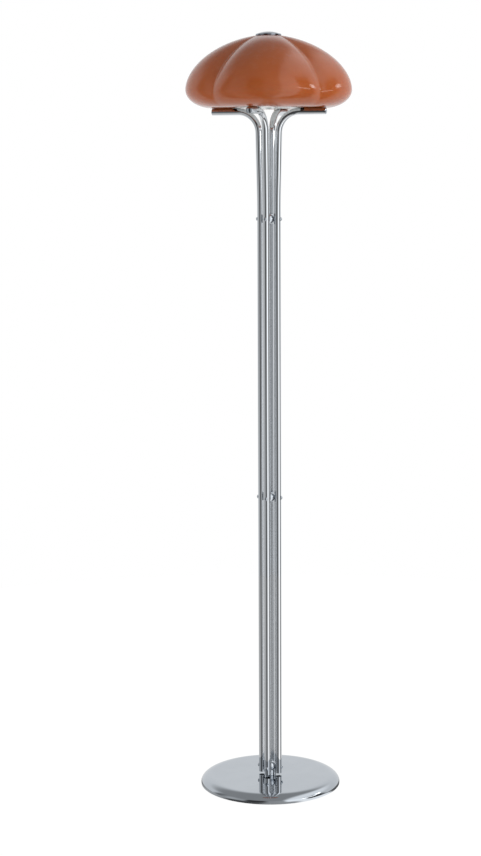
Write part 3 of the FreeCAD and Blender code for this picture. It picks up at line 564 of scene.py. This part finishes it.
def pipe_tree():
    """Round bar along a polyline; its corners are rounded by the polyline's own 'bend' attribute."""
    tree, given, result = shape_group("bent_pipe", {
        "Radius": TUBE_RADIUS, "Corner Steps": 28, "Sides": 56, "Capped": False})
    path = add(tree, "GeometryNodeMeshToCurve", {"Mesh": given.outputs["Geometry"]})
    bend = add(tree, "GeometryNodeInputNamedAttribute", {"Name": "bend"}, data_type="FLOAT")
    rounded = add(tree, "GeometryNodeFilletCurve", {
        "Curve": path.outputs[0], "Radius": bend.outputs["Attribute"],
        "Count": given.outputs["Corner Steps"]}, mode="POLY")
    section = add(tree, "GeometryNodeCurvePrimitiveCircle", {
        "Resolution": given.outputs["Sides"], "Radius": given.outputs["Radius"]})
    bar = add(tree, "GeometryNodeCurveToMesh", {
        "Curve": rounded.outputs[0], "Profile Curve": section.outputs[0],
        "Fill Caps": given.outputs["Capped"]})
    return ended(tree, bar.outputs[0], given, result)


def thread_tree():
    """Adds a rounded screw thread to the given turned shell."""
    tree, given, result = shape_group("screw_thread", {
        "Radius": SOCKET_RADIUS, "Pitch": THREAD_PITCH, "Turns": 1.0, "Start": 0.0, "Ridge": MM})
    turns = Figure(tree, given.outputs["Turns"])
    coil = add(tree, "GeometryNodeCurveSpiral", {
        "Resolution": 48, "Rotations": turns, "Start Radius": given.outputs["Radius"],
        "End Radius": given.outputs["Radius"],
        "Height": turns * Figure(tree, given.outputs["Pitch"])})
    section = add(tree, "GeometryNodeCurvePrimitiveCircle", {
        "Resolution": 12, "Radius": given.outputs["Ridge"]})
    ridge = add(tree, "GeometryNodeCurveToMesh", {
        "Curve": coil.outputs[0], "Profile Curve": section.outputs[0], "Fill Caps": True})
    place = add(tree, "ShaderNodeCombineXYZ", {"Z": given.outputs["Start"]})
    raised = add(tree, "GeometryNodeTransform", {
        "Geometry": ridge.outputs[0], "Translation": place.outputs[0]})
    smooth = add(tree, "GeometryNodeSetShadeSmooth", {"Geometry": raised.outputs[0]})
    both = add(tree, "GeometryNodeJoinGeometry")
    tree.links.new(smooth.outputs[0], both.inputs[0])
    tree.links.new(given.outputs["Geometry"], both.inputs[0])
    return ended(tree, both.outputs[0], given, result)


# Rows of the shade's grid, as shares of its length: land under the cap, belt, start of the flange
LAND_ROW, BELT_ROW, FLANGE_ROW = 0.05, 0.62, 0.88
ROW_MARGIN = 1e-4
MERGE_DISTANCE = 1e-6


def shade_tree():
    """Lobed shell: stud hole, crown, down the lobes and in along the flange to the opening."""
    tree, given, result = shape_group("lobed_shell", {
        "Lobe Radius": SHADE_RADIUS, "Seam Radius": SHADE_SEAM_RADIUS, "Crown": SHADE_CROWN,
        "Lobe Belt": SHADE_WIDEST, "Seam Belt": SHADE_SEAM_WIDEST, "Lobe Curve": SHADE_CURVE,
        "Seam Curve": SHADE_SEAM_CURVE, "Flange": SHADE_FLANGE_RADIUS, "Opening": SHADE_OPENING,
        "Hole": SHADE_HOLE, "Land": CAP_RADIUS, "Foot": TUBE_RADIUS, "Base": ARM_HEIGHT,
        "Turn": ARM_ANGLES["front"] + SHADE_TURN, "Softness": VALLEY_SOFTNESS,
        "Columns": 289, "Rows": 101})

    def size(name):
        return Figure(tree, given.outputs[name])

    grid = add(tree, "GeometryNodeMeshGrid", {
        "Size X": 1.0, "Size Y": 1.0, "Vertices X": given.outputs["Columns"],
        "Vertices Y": given.outputs["Rows"]})
    where = add(tree, "ShaderNodeSeparateXYZ", {0: add(tree, "GeometryNodeInputPosition").outputs[0]})
    angle = (Figure(tree, where.outputs["X"]) + 0.5) * (2 * math.pi)
    row = 0.5 - Figure(tree, where.outputs["Y"])

    # plan: a circular arc for each lobe, eased into the valley
    seam = math.pi / LOBES
    depth = size("Seam Radius") / size("Lobe Radius")
    away = angle.math("WRAP", seam, -seam).math("ABSOLUTE")
    softness = size("Softness")
    rest = seam - away
    eased = (seam - (rest * rest + softness * softness).math("SQRT")
             + softness * (away / seam) ** VALLEY_POWER)
    centre = (1.0 - depth * depth) / ((1.0 - depth * math.cos(seam)) * 2.0)
    across = centre * eased.math("SINE")
    span = 1.0 - centre
    reach = centre * eased.math("COSINE") + (span * span - across * across).math("SQRT")
    share = (1.0 - reach) / (1.0 - depth)

    # section: a superellipse down to the belt, then a quarter ellipse into the flange
    widest = size("Lobe Radius") + (size("Seam Radius") - size("Lobe Radius")) * share
    belt = size("Lobe Belt") + (size("Seam Belt") - size("Lobe Belt")) * share
    power = size("Lobe Curve") + (size("Seam Curve") - size("Lobe Curve")) * share
    land_share = size("Land") / widest
    crown_share = (1.0 - land_share ** power) ** power.math("POWER", -1.0)
    rise = (size("Crown") - belt) / crown_share
    begin = (land_share ** (power * 0.5)).math("ARCSINE")
    turn = begin + (QUARTER - begin) * row.share(LAND_ROW, BELT_ROW)
    exponent = power.math("POWER", -1.0) * 2.0
    upper_r = widest * turn.math("SINE") ** exponent
    upper_z = belt + rise * turn.math("COSINE").math("MAXIMUM", 0.0) ** exponent
    lower = row.share(BELT_ROW, FLANGE_ROW) * QUARTER
    lower_r = size("Flange") + (widest - size("Flange")) * lower.math("COSINE")
    lower_z = belt - (belt - size("Foot")) * lower.math("SINE")
    land_r = size("Hole") + (size("Land") - size("Hole")) * row.share(0.0, LAND_ROW)
    flange_r = size("Flange") + (size("Opening") - size("Flange")) * row.share(FLANGE_ROW, 1.0)

    on_land = row.below(LAND_ROW - ROW_MARGIN)
    on_upper = row.below(BELT_ROW + ROW_MARGIN) * (1.0 - on_land)
    on_flange = 1.0 - row.below(FLANGE_ROW + ROW_MARGIN)
    on_lower = 1.0 - on_land - on_upper - on_flange
    radius = land_r * on_land + upper_r * on_upper + lower_r * on_lower + flange_r * on_flange
    height = (size("Crown") * on_land + upper_z * on_upper + lower_z * on_lower
              + size("Foot") * on_flange)
    facing = angle + size("Turn")
    place = add(tree, "ShaderNodeCombineXYZ", {
        "X": radius * facing.math("COSINE"), "Y": radius * facing.math("SINE"),
        "Z": height + size("Base")})
    shaped = add(tree, "GeometryNodeSetPosition", {
        "Geometry": grid.outputs[0], "Position": place.outputs[0]})
    closed = add(tree, "GeometryNodeMergeByDistance", {
        "Geometry": shaped.outputs[0], "Distance": MERGE_DISTANCE})
    smooth = add(tree, "GeometryNodeSetShadeSmooth", {"Geometry": closed.outputs[0]})
    return ended(tree, smooth.outputs[0], given, result)


RING = ring_tree()
PIPE = pipe_tree()
THREAD = thread_tree()
SHELL = shade_tree()

# ---------------------------------------------------------------- shade and crown


def solid_wall(thing, thickness, bevel):
    """Gives a shell its wall, inwards, and eases its edges."""
    wall = thing.modifiers.new("wall", "SOLIDIFY")
    wall.thickness = thickness
    wall.offset = -1.0
    if bevel:
        ease = thing.modifiers.new("ease", "BEVEL")
        ease.width = bevel
        ease.segments = 3
        ease.limit_method = "ANGLE"
        ease.angle_limit = BEVEL_ANGLE
    return baked(thing)


def outward(thing, outside):
    """Turns all faces round if the face nearest to a point outside looks away from it."""
    nearest = min(thing.data.polygons, key=lambda face: (face.center - outside).length)
    if nearest.normal.dot(outside - nearest.center) < 0:
        thing.data.flip_normals()


shade = run_tree("shade_moulding", bpy.data.meshes.new("shade_moulding"), SHELL, ACRYLIC)
outward(shade, Vector((1, 0, ARM_HEIGHT + SHADE_WIDEST)))
solid_wall(shade, SHADE_WALL, SHADE_EDGE)
smooth_shaded(shade, SHADE_CREASE_ANGLE)
placed(shade, "shade", ACRYLIC, "shade")

shoulder = CROWN_HEIGHT + CAP_EDGE
cap_profile = ([(0, STUD_TIP), (STUD_RADIUS - STUD_CHAMFER, STUD_TIP),
                (STUD_RADIUS, STUD_TIP + STUD_CHAMFER), (STUD_RADIUS, CROWN_HEIGHT),
                (CAP_RADIUS - CAP_EASE, CROWN_HEIGHT), (CAP_RADIUS, CROWN_HEIGHT + CAP_EASE)]
               + round_edge(CAP_RADIUS - CAP_ROUND, shoulder - CAP_ROUND, CAP_ROUND, 0, 90, 6)
               + dome(CAP_RADIUS - CAP_ROUND, shoulder, CROWN_HEIGHT + CAP_HEIGHT, 24)[1:])
cap = smooth_shaded(turned("crown_button", cap_profile, 128), FINE_CREASE_ANGLE)
# the cap's chrome carries a painted dark reflection in its colour
placed(cap, "shade", PAINTED_DARK_CAP_CHROME, "crown_cap")

# ---------------------------------------------------------------- base


def cover_section(radius, top, steps=28):
    lip = COVER_FLOOR_GAP + COVER_LIP
    return ([(BASE_DRILL_RADIUS, top), (BASE_FLAT_RADIUS * COVER_MIDWAY, top)]
            + arc(BASE_FLAT_RADIUS, lip, radius - BASE_FLAT_RADIUS, top - lip, 90, 0, steps)
            + [(radius, COVER_FLOOR_GAP)])


cover = turned("base_dish", cover_section(BASE_RADIUS, BASE_HEIGHT)
               + cover_section(BASE_RADIUS - COVER_SHEET, BASE_HEIGHT - COVER_SHEET)[::-1], 256)
placed(smooth_shaded(cover), "stand", CHROME, "base_cover")

pad_bend = PAD_RADIUS - PAD_EDGE
pad = turned("felt_pad", [(0, 0)] + round_edge(pad_bend, PAD_EDGE, PAD_EDGE, -90, 0, 4)
             + round_edge(pad_bend, PAD_THICKNESS - PAD_EDGE, PAD_EDGE, 0, 90, 4)
             + [(0, PAD_THICKNESS)], 160)
placed(smooth_shaded(pad), "stand", FELT, "floor_pad")


def ball_underside(radius):
    """Height of the lowest ball's underside at a radius."""
    return BALL_HEIGHTS["lower"] - math.sqrt(BALL_RADIUS ** 2 - radius ** 2)


# a groove runs round the collar's foot; its upper side is curved
collar_foot = COLLAR_RADIUS + COLLAR_SPREAD
collar = turned("base_neck", [(BASE_DRILL_RADIUS, BASE_HEIGHT), (collar_foot, BASE_HEIGHT)]
                + arc(collar_foot, BASE_HEIGHT + GROOVE_HEIGHT, -GROOVE_DEPTH, -GROOVE_RISE,
                      360, 270, 5)
                + [(COLLAR_RADIUS, ball_underside(COLLAR_RADIUS)),
                   (BASE_DRILL_RADIUS, ball_underside(BASE_DRILL_RADIUS))])
placed(smooth_shaded(collar), "stand", CHROME, "base_collar")

# outer and inner edge of the gland: centre height and rounding
outer_height, outer_round = 0.4 * MM, 0.8 * MM
inner_height, inner_round = 0.7 * MM, 0.5 * MM
gland = turned("cord_grommet", [(GLAND_BORE, -GLAND_DEPTH), (GLAND_FLANGE, -GLAND_DEPTH),
                                (GLAND_FLANGE, -COVER_SHEET), (GLAND_NECK, -COVER_SHEET),
                                (GLAND_NECK, 0), (GLAND_FLANGE, 0)]
               + round_edge(GLAND_FLANGE - outer_round, outer_height, outer_round, 0, 90, 5)
               + round_edge(GLAND_BORE + inner_round, inner_height, inner_round, 90, 180, 4), 48)
moved(gland, Matrix.Translation((-LEAD_SIDE, BASE_RADIUS, LEAD_RUN))
      @ Matrix.Rotation(-QUARTER, 4, "X"))
placed(smooth_shaded(gland), "stand", RUBBER, "cord_gland")

# ---------------------------------------------------------------- column

for level, height in BALL_HEIGHTS.items():
    profile = round_edge(0, height, BALL_RADIUS, -90, 90, 64)
    profile[0], profile[-1] = (0, height - BALL_RADIUS), (0, height + BALL_RADIUS)
    ball = turned("ball_chrome_" + level, profile)
    placed(smooth_shaded(ball), "stand", CHROME, "ball_" + level)


def polyline(name, corners):
    """Mesh line through (point, bend radius) corners."""
    mesh = bpy.data.meshes.new(name)
    mesh.from_pydata([point for point, bend in corners],
                     [(k, k + 1) for k in range(len(corners) - 1)], [])
    bends = mesh.attributes.new("bend", "FLOAT", "POINT")
    for k, (point, bend) in enumerate(corners):
        bends.data[k].value = bend
    return mesh


def tube(side):
    """One of the four tubes, column and arm in one, made along +X and turned to its side."""
    corners = [((PITCH_RADIUS, 0, TUBE_FOOT), 0.0), ((PITCH_RADIUS, 0, LEAN_START), LEAN_BEND),
               ((LEAN_TOP, 0, ARM_HEIGHT), ARM_BEND), ((ARM_END, 0, ARM_HEIGHT), 0.0)]
    made = run_tree("tube_bent_" + side, polyline("tube_" + side, corners), PIPE, TUBE_CHROME)
    outward(made, Vector((PITCH_RADIUS, -1, 0.7)))
    solid_wall(made, TUBE_WALL, 0)
    moved(made, Matrix.Rotation(ARM_ANGLES[side], 4, "Z"))
    placed(smooth_shaded(made), "stand", TUBE_CHROME, "tube_" + side)


for side in ARM_ANGLES:
    tube(side)


def ring_of(name, piece, finish, cad_node):
    """Repeats a small piece at the four tubes as one object."""
    made = run_tree(name, mesh_of(smooth_shaded(piece)), RING, finish)
    placed(made, "stand", finish, cad_node)


def bolt_head(height):
    """Domed head with a soft rim, bedded on the tube."""
    rim = BOLT_BEDDING + 0.4 * MM
    dome_foot = BOLT_BEDDING + 0.7 * MM
    dome_radius = BOLT_HEAD_RADIUS - 0.15 * MM
    head = turned("bolt_head", [(0, 0), (BOLT_HEAD_RADIUS, 0), (BOLT_HEAD_RADIUS, rim)]
                  + dome(dome_radius, dome_foot, BOLT_BEDDING + BOLT_HEAD_HEIGHT, 14), 48)
    return laid(head, PITCH_RADIUS + TUBE_RADIUS - BOLT_BEDDING, height)


for level, height in BALL_HEIGHTS.items():
    ring_of("bolt_heads_" + level, bolt_head(height), CHROME, "bolts_" + level)

plug = turned("plug", [(0, -PLUG_DEPTH), (PLUG_FIT_RADIUS, -PLUG_DEPTH), (PLUG_FIT_RADIUS, 0),
                       (TUBE_RADIUS, 0), (TUBE_RADIUS, RIM)]
              + dome(TUBE_RADIUS, RIM, ARM_DOME, 14)[1:], 56)
ring_of("arm_end_domes", laid(plug, ARM_END, ARM_HEIGHT), CHROME, "arm_plugs")

pin_foot, pin_top = ARM_TOP - PIN_SUNK, ARM_TOP + PIN_RISE
pin = turned("pin", [(0, pin_foot), (PIN_RADIUS, pin_foot), (PIN_RADIUS, pin_top - PIN_DOME)]
             + dome(PIN_RADIUS, pin_top - PIN_DOME, pin_top, 8)[1:], 32)
moved(pin, Matrix.Translation((PIN_CIRCLE, 0, 0)))
ring_of("shade_pins", pin, ZINC, "arm_pins")


def slotted_screw():
    """Round-headed screw with a driver slot."""
    foot, top = PLATE_TOP - SCREW_LENGTH, PLATE_TOP + SCREW_HEAD_HEIGHT
    screw = turned("screw", [(0, foot), (SCREW_RADIUS, foot), (SCREW_RADIUS, PLATE_TOP),
                             (SCREW_HEAD_RADIUS, PLATE_TOP), (SCREW_HEAD_RADIUS, PLATE_TOP + RIM)]
                   + dome(SCREW_HEAD_RADIUS, PLATE_TOP + RIM, top, 10)[1:], 40)
    bm = bmesh.new()
    bmesh.ops.create_cube(bm, size=1.0)
    cutter_mesh = bpy.data.meshes.new("slot_cutter")
    bm.to_mesh(cutter_mesh)
    bm.free()
    cutter = new_object("slot_cutter", cutter_mesh)
    moved(cutter, Matrix.Translation((0, 0, top)) @ Matrix.Diagonal(SCREW_SLOT))
    cut = screw.modifiers.new("slot", "BOOLEAN")
    cut.operation = "DIFFERENCE"
    cut.object = cutter
    cut.solver = "EXACT"
    baked(screw)
    bpy.data.objects.remove(cutter)
    return moved(screw, Matrix.Translation((SCREW_CIRCLE, 0, 0)))


ring_of("plate_screw_heads", slotted_screw(), ZINC, "plate_screws")

# ---------------------------------------------------------------- lampholder

bend = HOLDER_RADIUS - HOLDER_CORNER
edge = 0.4 * MM
housing = turned("holder_cup", [(HOLDER_HOLE, PLATE_TOP), (bend, PLATE_TOP)]
                 + round_edge(bend, PLATE_TOP + HOLDER_CORNER, HOLDER_CORNER, -90, 0, 6)[1:]
                 + [(HOLDER_RADIUS, HOLDER_TOP - edge), (HOLDER_RADIUS - edge, HOLDER_TOP),
                    (HOLDER_INSIDE, HOLDER_TOP), (HOLDER_INSIDE, PLATE_TOP + HOLDER_WALL),
                    (HOLDER_HOLE, PLATE_TOP + HOLDER_WALL)])
placed(smooth_shaded(housing, FINE_CREASE_ANGLE), "stand", PHENOLIC, "lampholder_base")


def skirt_rib(low, radius):
    """Upright grip rib with chamfered ends; half of it stands out of the skirt."""
    high = low + SKIRT_BAND
    rib = turned("rib", [(0, low + 0.2 * MM), (0.5 * MM, low + 0.2 * MM),
                         (RIB_DEPTH, low + RIM), (RIB_DEPTH, high - RIM),
                         (0.4 * MM, high), (0, high)], 10)
    moved(rib, Matrix.Translation((radius, 0, 0)))
    return smooth_shaded(rib)


def ribbed_skirt():
    """Tapering collar with a band of grip ribs round its foot."""
    low = HOLDER_TOP + SKIRT_GAP
    high = low + SKIRT_HEIGHT
    mouth = SOCKET_RADIUS + SLEEVE_WALL + SKIRT_CLEARANCE
    core = SKIRT_RADIUS - RIB_DEPTH
    # radii of the waist above the ribs, of the top and of the centre of the top's rounding
    waist, top, top_bend = (SKIRT_RADIUS - inset * MM for inset in (1.2, 1.8, 2.4))
    body = turned("skirt_body", [(HOLDER_INSIDE, low), (core, low), (core, low + SKIRT_BAND),
                                 (waist, low + 7 * MM), (top, high - MM)]
                  + round_edge(top_bend, high - RIM, RIM, 0, 90, 4)
                  + [(mouth, high), (mouth, high - 6 * MM), (HOLDER_INSIDE, high - 10 * MM)])
    smooth_shaded(body, FINE_CREASE_ANGLE)
    ribs = run_tree("skirt_ribs", mesh_of(skirt_rib(low, core)), RING, PHENOLIC, Count=SKIRT_RIBS)
    joined = bmesh.new()
    joined.from_mesh(body.data)
    joined.from_mesh(mesh_of(ribs))
    joined.to_mesh(body.data)
    joined.free()
    return body


placed(ribbed_skirt(), "stand", PHENOLIC, "lampholder_skirt")

sleeve_low, sleeve_high = SOCKET_RADIUS + SLEEVE_PLAY, SOCKET_RADIUS + SLEEVE_WALL
sleeve = turned("sleeve", [(sleeve_low, CORE_TOP), (sleeve_high, CORE_TOP),
                           (sleeve_high, CORE_TOP + SLEEVE_HEIGHT),
                           (sleeve_low, CORE_TOP + SLEEVE_HEIGHT)])
sleeve = run_tree("socket_thread", mesh_of(smooth_shaded(sleeve)), THREAD, BRASS,
                  Radius=SOCKET_RADIUS + 0.2 * MM, Turns=5.0, Start=CORE_TOP + 3 * MM, Ridge=0.25 * MM)
placed(sleeve, "stand", BRASS, "socket_sleeve")

# ---------------------------------------------------------------- bulb

thread_radius = BULB_CAP_RADIUS - 0.7 * MM
shell = turned("bulb_shell", [(8.4 * MM, BULB_CAP_FOOT), (9.6 * MM, BULB_CAP_FOOT),
                              (thread_radius, BULB_CAP_FOOT + 2.4 * MM),
                              (thread_radius, BULB_CAP_TOP - 3 * MM),
                              (BULB_CAP_RADIUS, BULB_CAP_TOP - 2 * MM),
                              (BULB_CAP_RADIUS, BULB_CAP_TOP), (BULB_NECK + 0.2 * MM, BULB_CAP_TOP),
                              (BULB_NECK - 0.6 * MM, BULB_CAP_TOP - 3 * MM),
                              (thread_radius - 0.4 * MM, BULB_CAP_FOOT + 2.6 * MM)])
shell = run_tree("bulb_screw_cap", mesh_of(smooth_shaded(shell, FINE_CREASE_ANGLE)), THREAD, NICKEL,
                 Radius=thread_radius, Turns=3.0, Start=BULB_CAP_FOOT + 4 * MM, Ridge=0.7 * MM)
placed(shell, "bulb", NICKEL, "bulb_cap")


def bezier(start, via, end, steps):
    """Points after the start on a curve that bends towards the via point."""
    points = []
    for k in range(1, steps + 1):
        t = k / steps
        points.append(tuple((1 - t) ** 2 * a + 2 * t * (1 - t) * b + t * t * c
                            for a, b, c in zip(start, via, end)))
    return points


def bulb_section(shrink):
    """Pear-shaped half section: neck, flare and round end."""
    top = BULB_FOOT + BULB_LENGTH
    centre = top - BULB_RADIUS
    ball = BULB_RADIUS - shrink
    neck = BULB_NECK - shrink
    meet = math.radians(BULB_FLARE_ANGLE)
    end = (ball * math.cos(meet), centre + ball * math.sin(meet))
    via = (neck, BULB_NECK_TOP + (end[1] - BULB_NECK_TOP) * BULB_FLARE_SHARE)
    return ([(neck, BULB_GLASS_FOOT), (neck, BULB_NECK_TOP)]
            + bezier((neck, BULB_NECK_TOP), via, end, 12)
            + round_edge(0, centre, ball, BULB_FLARE_ANGLE, 90, 32)[1:-1] + [(0, top - shrink)])


glass = turned("bulb_envelope", bulb_section(0) + bulb_section(BULB_WALL)[::-1])
placed(smooth_shaded(glass), "bulb", OPAL, "bulb_glass")

# ---------------------------------------------------------------- wire

# it leaves the tube at the arm's bend, passes the plate and turns into the lampholder
turn_height = ARM_HEIGHT - ARM_BEND + ARM_BEND * math.tan(QUARTER / 4)
exit_height = turn_height + LEAD_EXIT - LEAN_TOP
entry_height = PLATE_TOP + HOLDER_WALL + LEAD_RADIUS + LEAD_CLEARANCE
lead_corners = [((x, LEAD_SIDE, height), bend) for x, height, bend in (
    (BASE_RADIUS - MM, LEAD_RUN, 0.0), (PITCH_RADIUS, LEAD_RUN, LEAD_FOOT_BEND),
    (PITCH_RADIUS, LEAN_START, LEAN_BEND), (LEAN_TOP, turn_height, ARM_BEND),
    (LEAD_EXIT, exit_height, LEAD_EXIT_BEND), (LEAD_EXIT, entry_height, LEAD_ENTRY_BEND),
    (HOLDER_INSIDE - 3 * MM, entry_height, 0.0))]
lead = run_tree("wire", polyline("wire", lead_corners), PIPE, SLEEVING, Radius=LEAD_RADIUS,
                Sides=20, Corner_Steps=10, Capped=True)
moved(lead, Matrix.Rotation(ARM_ANGLES["back"], 4, "Z"))
outward(lead, Vector((0, PITCH_RADIUS, -1)))
placed(smooth_shaded(lead), "stand", SLEEVING, "inner_lead")

# ---------------------------------------------------------------- finishes of the solids that stay

STAYING = {"base_weight": CAST_IRON, "base_bolt": ZINC, "base_washer": ZINC, "lead_bush": NYLON,
           "foot_plugs": NYLON, "holder_plate": ENAMEL, "holder_bolt": ZINC,
           "socket_core": CERAMIC, "socket_contact": BRASS, "bulb_contact": SOLDER,
           "bulb_insulator": VITRITE, "bulb_mount": CLEAR_GLASS, "crown_washer": ZINC,
           "crown_nut": ZINC}
for node_name, finish in STAYING.items():
    nodes[node_name].data.materials.clear()
    nodes[node_name].data.materials.append(finish)

# ---------------------------------------------------------------- studio

# camera fitted to the photo
VIEW_AZIMUTH = math.radians(18.5)
CAMERA_DISTANCE = 4.176
CAMERA_HEIGHT = 1.420
CAMERA_TILT = math.radians(6.927)
CAMERA_ROLL = math.radians(-0.15)
FOCAL_PIXELS = 1858.6
AXIS_COLUMN = 269.4
AIM_ROW = 391.64
IMAGE_WIDTH, IMAGE_HEIGHT = 481, 856
SENSOR = 36.0

# studio's brightness by azimuth from the camera's side, to the right positive: degrees and level
ROOM_BANDS = ((-180, 0.92), (-112, 0.90), (-95, 0.24), (-70, 0.60), (-48, 0.50), (-36, 0.05),
              (-14, 0.05), (0, 0.45), (20, 0.50), (31, 1.55), (58, 1.55), (68, 0.10), (92, 0.10),
              (108, 0.90), (180, 0.92))
# ceiling: where it starts by height, where it brightens to the right, and both levels
CEILING_START = (0.45, 0.75)
CEILING_EDGE = (0.25, 0.45)
CEILING_DIM, CEILING_BRIGHT = 0.38, 1.3
# even light on matt surfaces
HORIZON = (-0.4, 0.4)
SKY_SOFT, GROUND_SOFT = 0.42, 1.5
LIGHT_TINT = (0.97, 0.985, 1.0)
WHITE = (1, 1, 1, 1)

FLOOR_RADIUS = 2.2
FLOOR_COLOUR, FLOOR_OTHER = (0.86, 0.86, 0.86, 1), (0.85, 0.85, 0.85, 1)
FLOOR_PATCHES = 1.5
FLOOR_ROUGHNESS = 0.9
FLOOR_GLOW = 1.1
FLOOR_GLOW_SHARE = 0.88


def add_camera():
    data = bpy.data.cameras.new("camera")
    data.sensor_width = SENSOR
    data.lens = FOCAL_PIXELS * SENSOR / IMAGE_HEIGHT
    data.shift_x = (IMAGE_WIDTH / 2 - AXIS_COLUMN) / IMAGE_HEIGHT
    data.shift_y = (AIM_ROW - IMAGE_HEIGHT / 2) / IMAGE_HEIGHT
    camera = new_object("camera", data)
    camera.location = (CAMERA_DISTANCE * math.sin(VIEW_AZIMUTH),
                       -CAMERA_DISTANCE * math.cos(VIEW_AZIMUTH), CAMERA_HEIGHT)
    turn = (Matrix.Rotation(VIEW_AZIMUTH, 4, "Z") @ Matrix.Rotation(QUARTER - CAMERA_TILT, 4, "X")
            @ Matrix.Rotation(CAMERA_ROLL, 4, "Z"))
    camera.rotation_euler = turn.to_euler()
    bpy.context.scene.camera = camera


def add_softbox(name, azimuth, elevation, width, height, power, aim, mirrored=True, distance=3.2):
    """Soft lamp that looks at the axis; the azimuth counts from the camera's side, to the right."""
    data = bpy.data.lights.new(name, "AREA")
    data.shape = "RECTANGLE"
    data.size, data.size_y = width, height
    data.energy = power
    lamp = new_object(name, data)
    lamp.visible_glossy = mirrored
    turn = VIEW_AZIMUTH + math.radians(azimuth)
    rise = math.radians(elevation)
    target = Vector((0, 0, aim))
    lamp.location = target + distance * Vector((math.sin(turn) * math.cos(rise),
                                                -math.cos(turn) * math.cos(rise), math.sin(rise)))
    lamp.rotation_euler = (target - lamp.location).to_track_quat("-Z", "Y").to_euler()


def to_the_right(x, y):
    return x * math.cos(VIEW_AZIMUTH) + y * math.sin(VIEW_AZIMUTH)


def room_group():
    """Level of the studio's walls in a direction given from the lamp."""
    tree, given, result = new_group("studio_walls", "ShaderNodeTree",
                                    {"Direction": Vector((0, 1, 0))}, {"Level": "NodeSocketFloat"})
    way = add(tree, "ShaderNodeSeparateXYZ", {0: given.outputs["Direction"]})
    x, y = (Figure(tree, way.outputs[axis]) for axis in "XY")
    front = x * math.sin(VIEW_AZIMUTH) - y * math.cos(VIEW_AZIMUTH)
    azimuth = to_the_right(x, y).math("ARCTAN2", front) * (180 / math.pi)
    level = ROOM_BANDS[0][1]
    for (start, low), (end, high) in zip(ROOM_BANDS, ROOM_BANDS[1:]):
        if high != low:
            level = azimuth.soft(start, end) * (high - low) + level
    tree.links.new(level.socket, result.inputs["Level"])
    return tree


ROOM = room_group()


def wall_level(tree, direction):
    walls = add(tree, "ShaderNodeGroup", {"Direction": direction}, node_tree=ROOM)
    return Figure(tree, walls.outputs["Level"])


def blend(tree, share, first, second):
    return add(tree, "ShaderNodeMixShader",
               {0: share, 1: first.outputs[0], 2: second.outputs[0]}).outputs[0]


def studio_world():
    """White to the camera and through glass, bands to reflections, soft light to matt surfaces."""
    world = bpy.data.worlds.new("studio")
    bpy.context.scene.world = world
    world.use_nodes = True
    tree = world.node_tree
    tree.nodes.clear()
    place = add(tree, "ShaderNodeTexCoord")
    way = add(tree, "ShaderNodeSeparateXYZ", {0: place.outputs["Generated"]})
    x, y, height = (Figure(tree, way.outputs[axis]) for axis in "XYZ")
    walls = wall_level(tree, place.outputs["Generated"])
    ceiling = to_the_right(x, y).soft(*CEILING_EDGE) * (CEILING_BRIGHT - CEILING_DIM) + CEILING_DIM
    room = walls + (ceiling - walls) * height.soft(*CEILING_START)
    soft = GROUND_SOFT + height.soft(*HORIZON) * (SKY_SOFT - GROUND_SOFT)
    rays = add(tree, "ShaderNodeLightPath")
    glossy = Figure(tree, rays.outputs["Is Glossy Ray"])
    level = room * glossy + (1.0 - glossy) * soft
    tinted = add(tree, "ShaderNodeVectorMath", {0: LIGHT_TINT, "Scale": level}, operation="SCALE")
    lit = add(tree, "ShaderNodeBackground", {"Color": tinted.outputs[0]})
    white = add(tree, "ShaderNodeBackground", {"Color": WHITE})
    through = Figure(tree, rays.outputs["Is Transmission Ray"])
    seen = Figure(tree, rays.outputs["Is Camera Ray"]).math("MAXIMUM", through)
    out = add(tree, "ShaderNodeOutputWorld")
    tree.links.new(blend(tree, seen, lit, white), out.inputs["Surface"])


def floor_material():
    """Pale floor: nearly white to the camera with a soft shadow; it mirrors as the walls' bands."""
    made = bpy.data.materials.new("pale_floor")
    made.use_nodes = True
    tree = made.node_tree
    shader = tree.nodes["Principled BSDF"]
    shader.inputs["Roughness"].default_value = FLOOR_ROUGHNESS
    shader.inputs["Specular IOR Level"].default_value = 0.0
    tint = add(tree, "ShaderNodeGroup", {"Colour": FLOOR_COLOUR, "Other": FLOOR_OTHER,
                                         "Scale": FLOOR_PATCHES}, node_tree=TINT)
    tree.links.new(tint.outputs["Colour"], shader.inputs["Base Color"])
    walls = wall_level(tree, add(tree, "ShaderNodeTexCoord").outputs["Object"])
    rays = add(tree, "ShaderNodeLightPath")
    glossy = Figure(tree, rays.outputs["Is Glossy Ray"])
    level = walls * glossy + (1.0 - glossy) * FLOOR_GLOW
    glow = add(tree, "ShaderNodeEmission", {"Color": level})
    seen = Figure(tree, rays.outputs["Is Camera Ray"])
    for name in ("Is Glossy Ray", "Is Transmission Ray"):
        seen = seen.math("MAXIMUM", Figure(tree, rays.outputs[name]))
    tree.links.new(blend(tree, seen * FLOOR_GLOW_SHARE, shader, glow),
                   tree.nodes["Material Output"].inputs["Surface"])
    return made


floor = turned("floor", [(0, 0), (FLOOR_RADIUS, 0)], 64)
floor.data.materials.append(floor_material())
if floor.data.polygons[0].normal.z < 0:
    floor.data.flip_normals()

add_camera()
add_softbox("key_softbox", azimuth=98, elevation=15, width=0.7, height=0.4, power=5, aim=1.6)
add_softbox("low_softbox", azimuth=70, elevation=3, width=1.6, height=0.3, power=5, aim=1.6)
add_softbox("side_softbox", azimuth=75, elevation=30, width=1.6, height=1.6, power=36, aim=1.2,
            mirrored=False)
studio_world()
bpy.context.scene.view_settings.view_transform = "Standard"
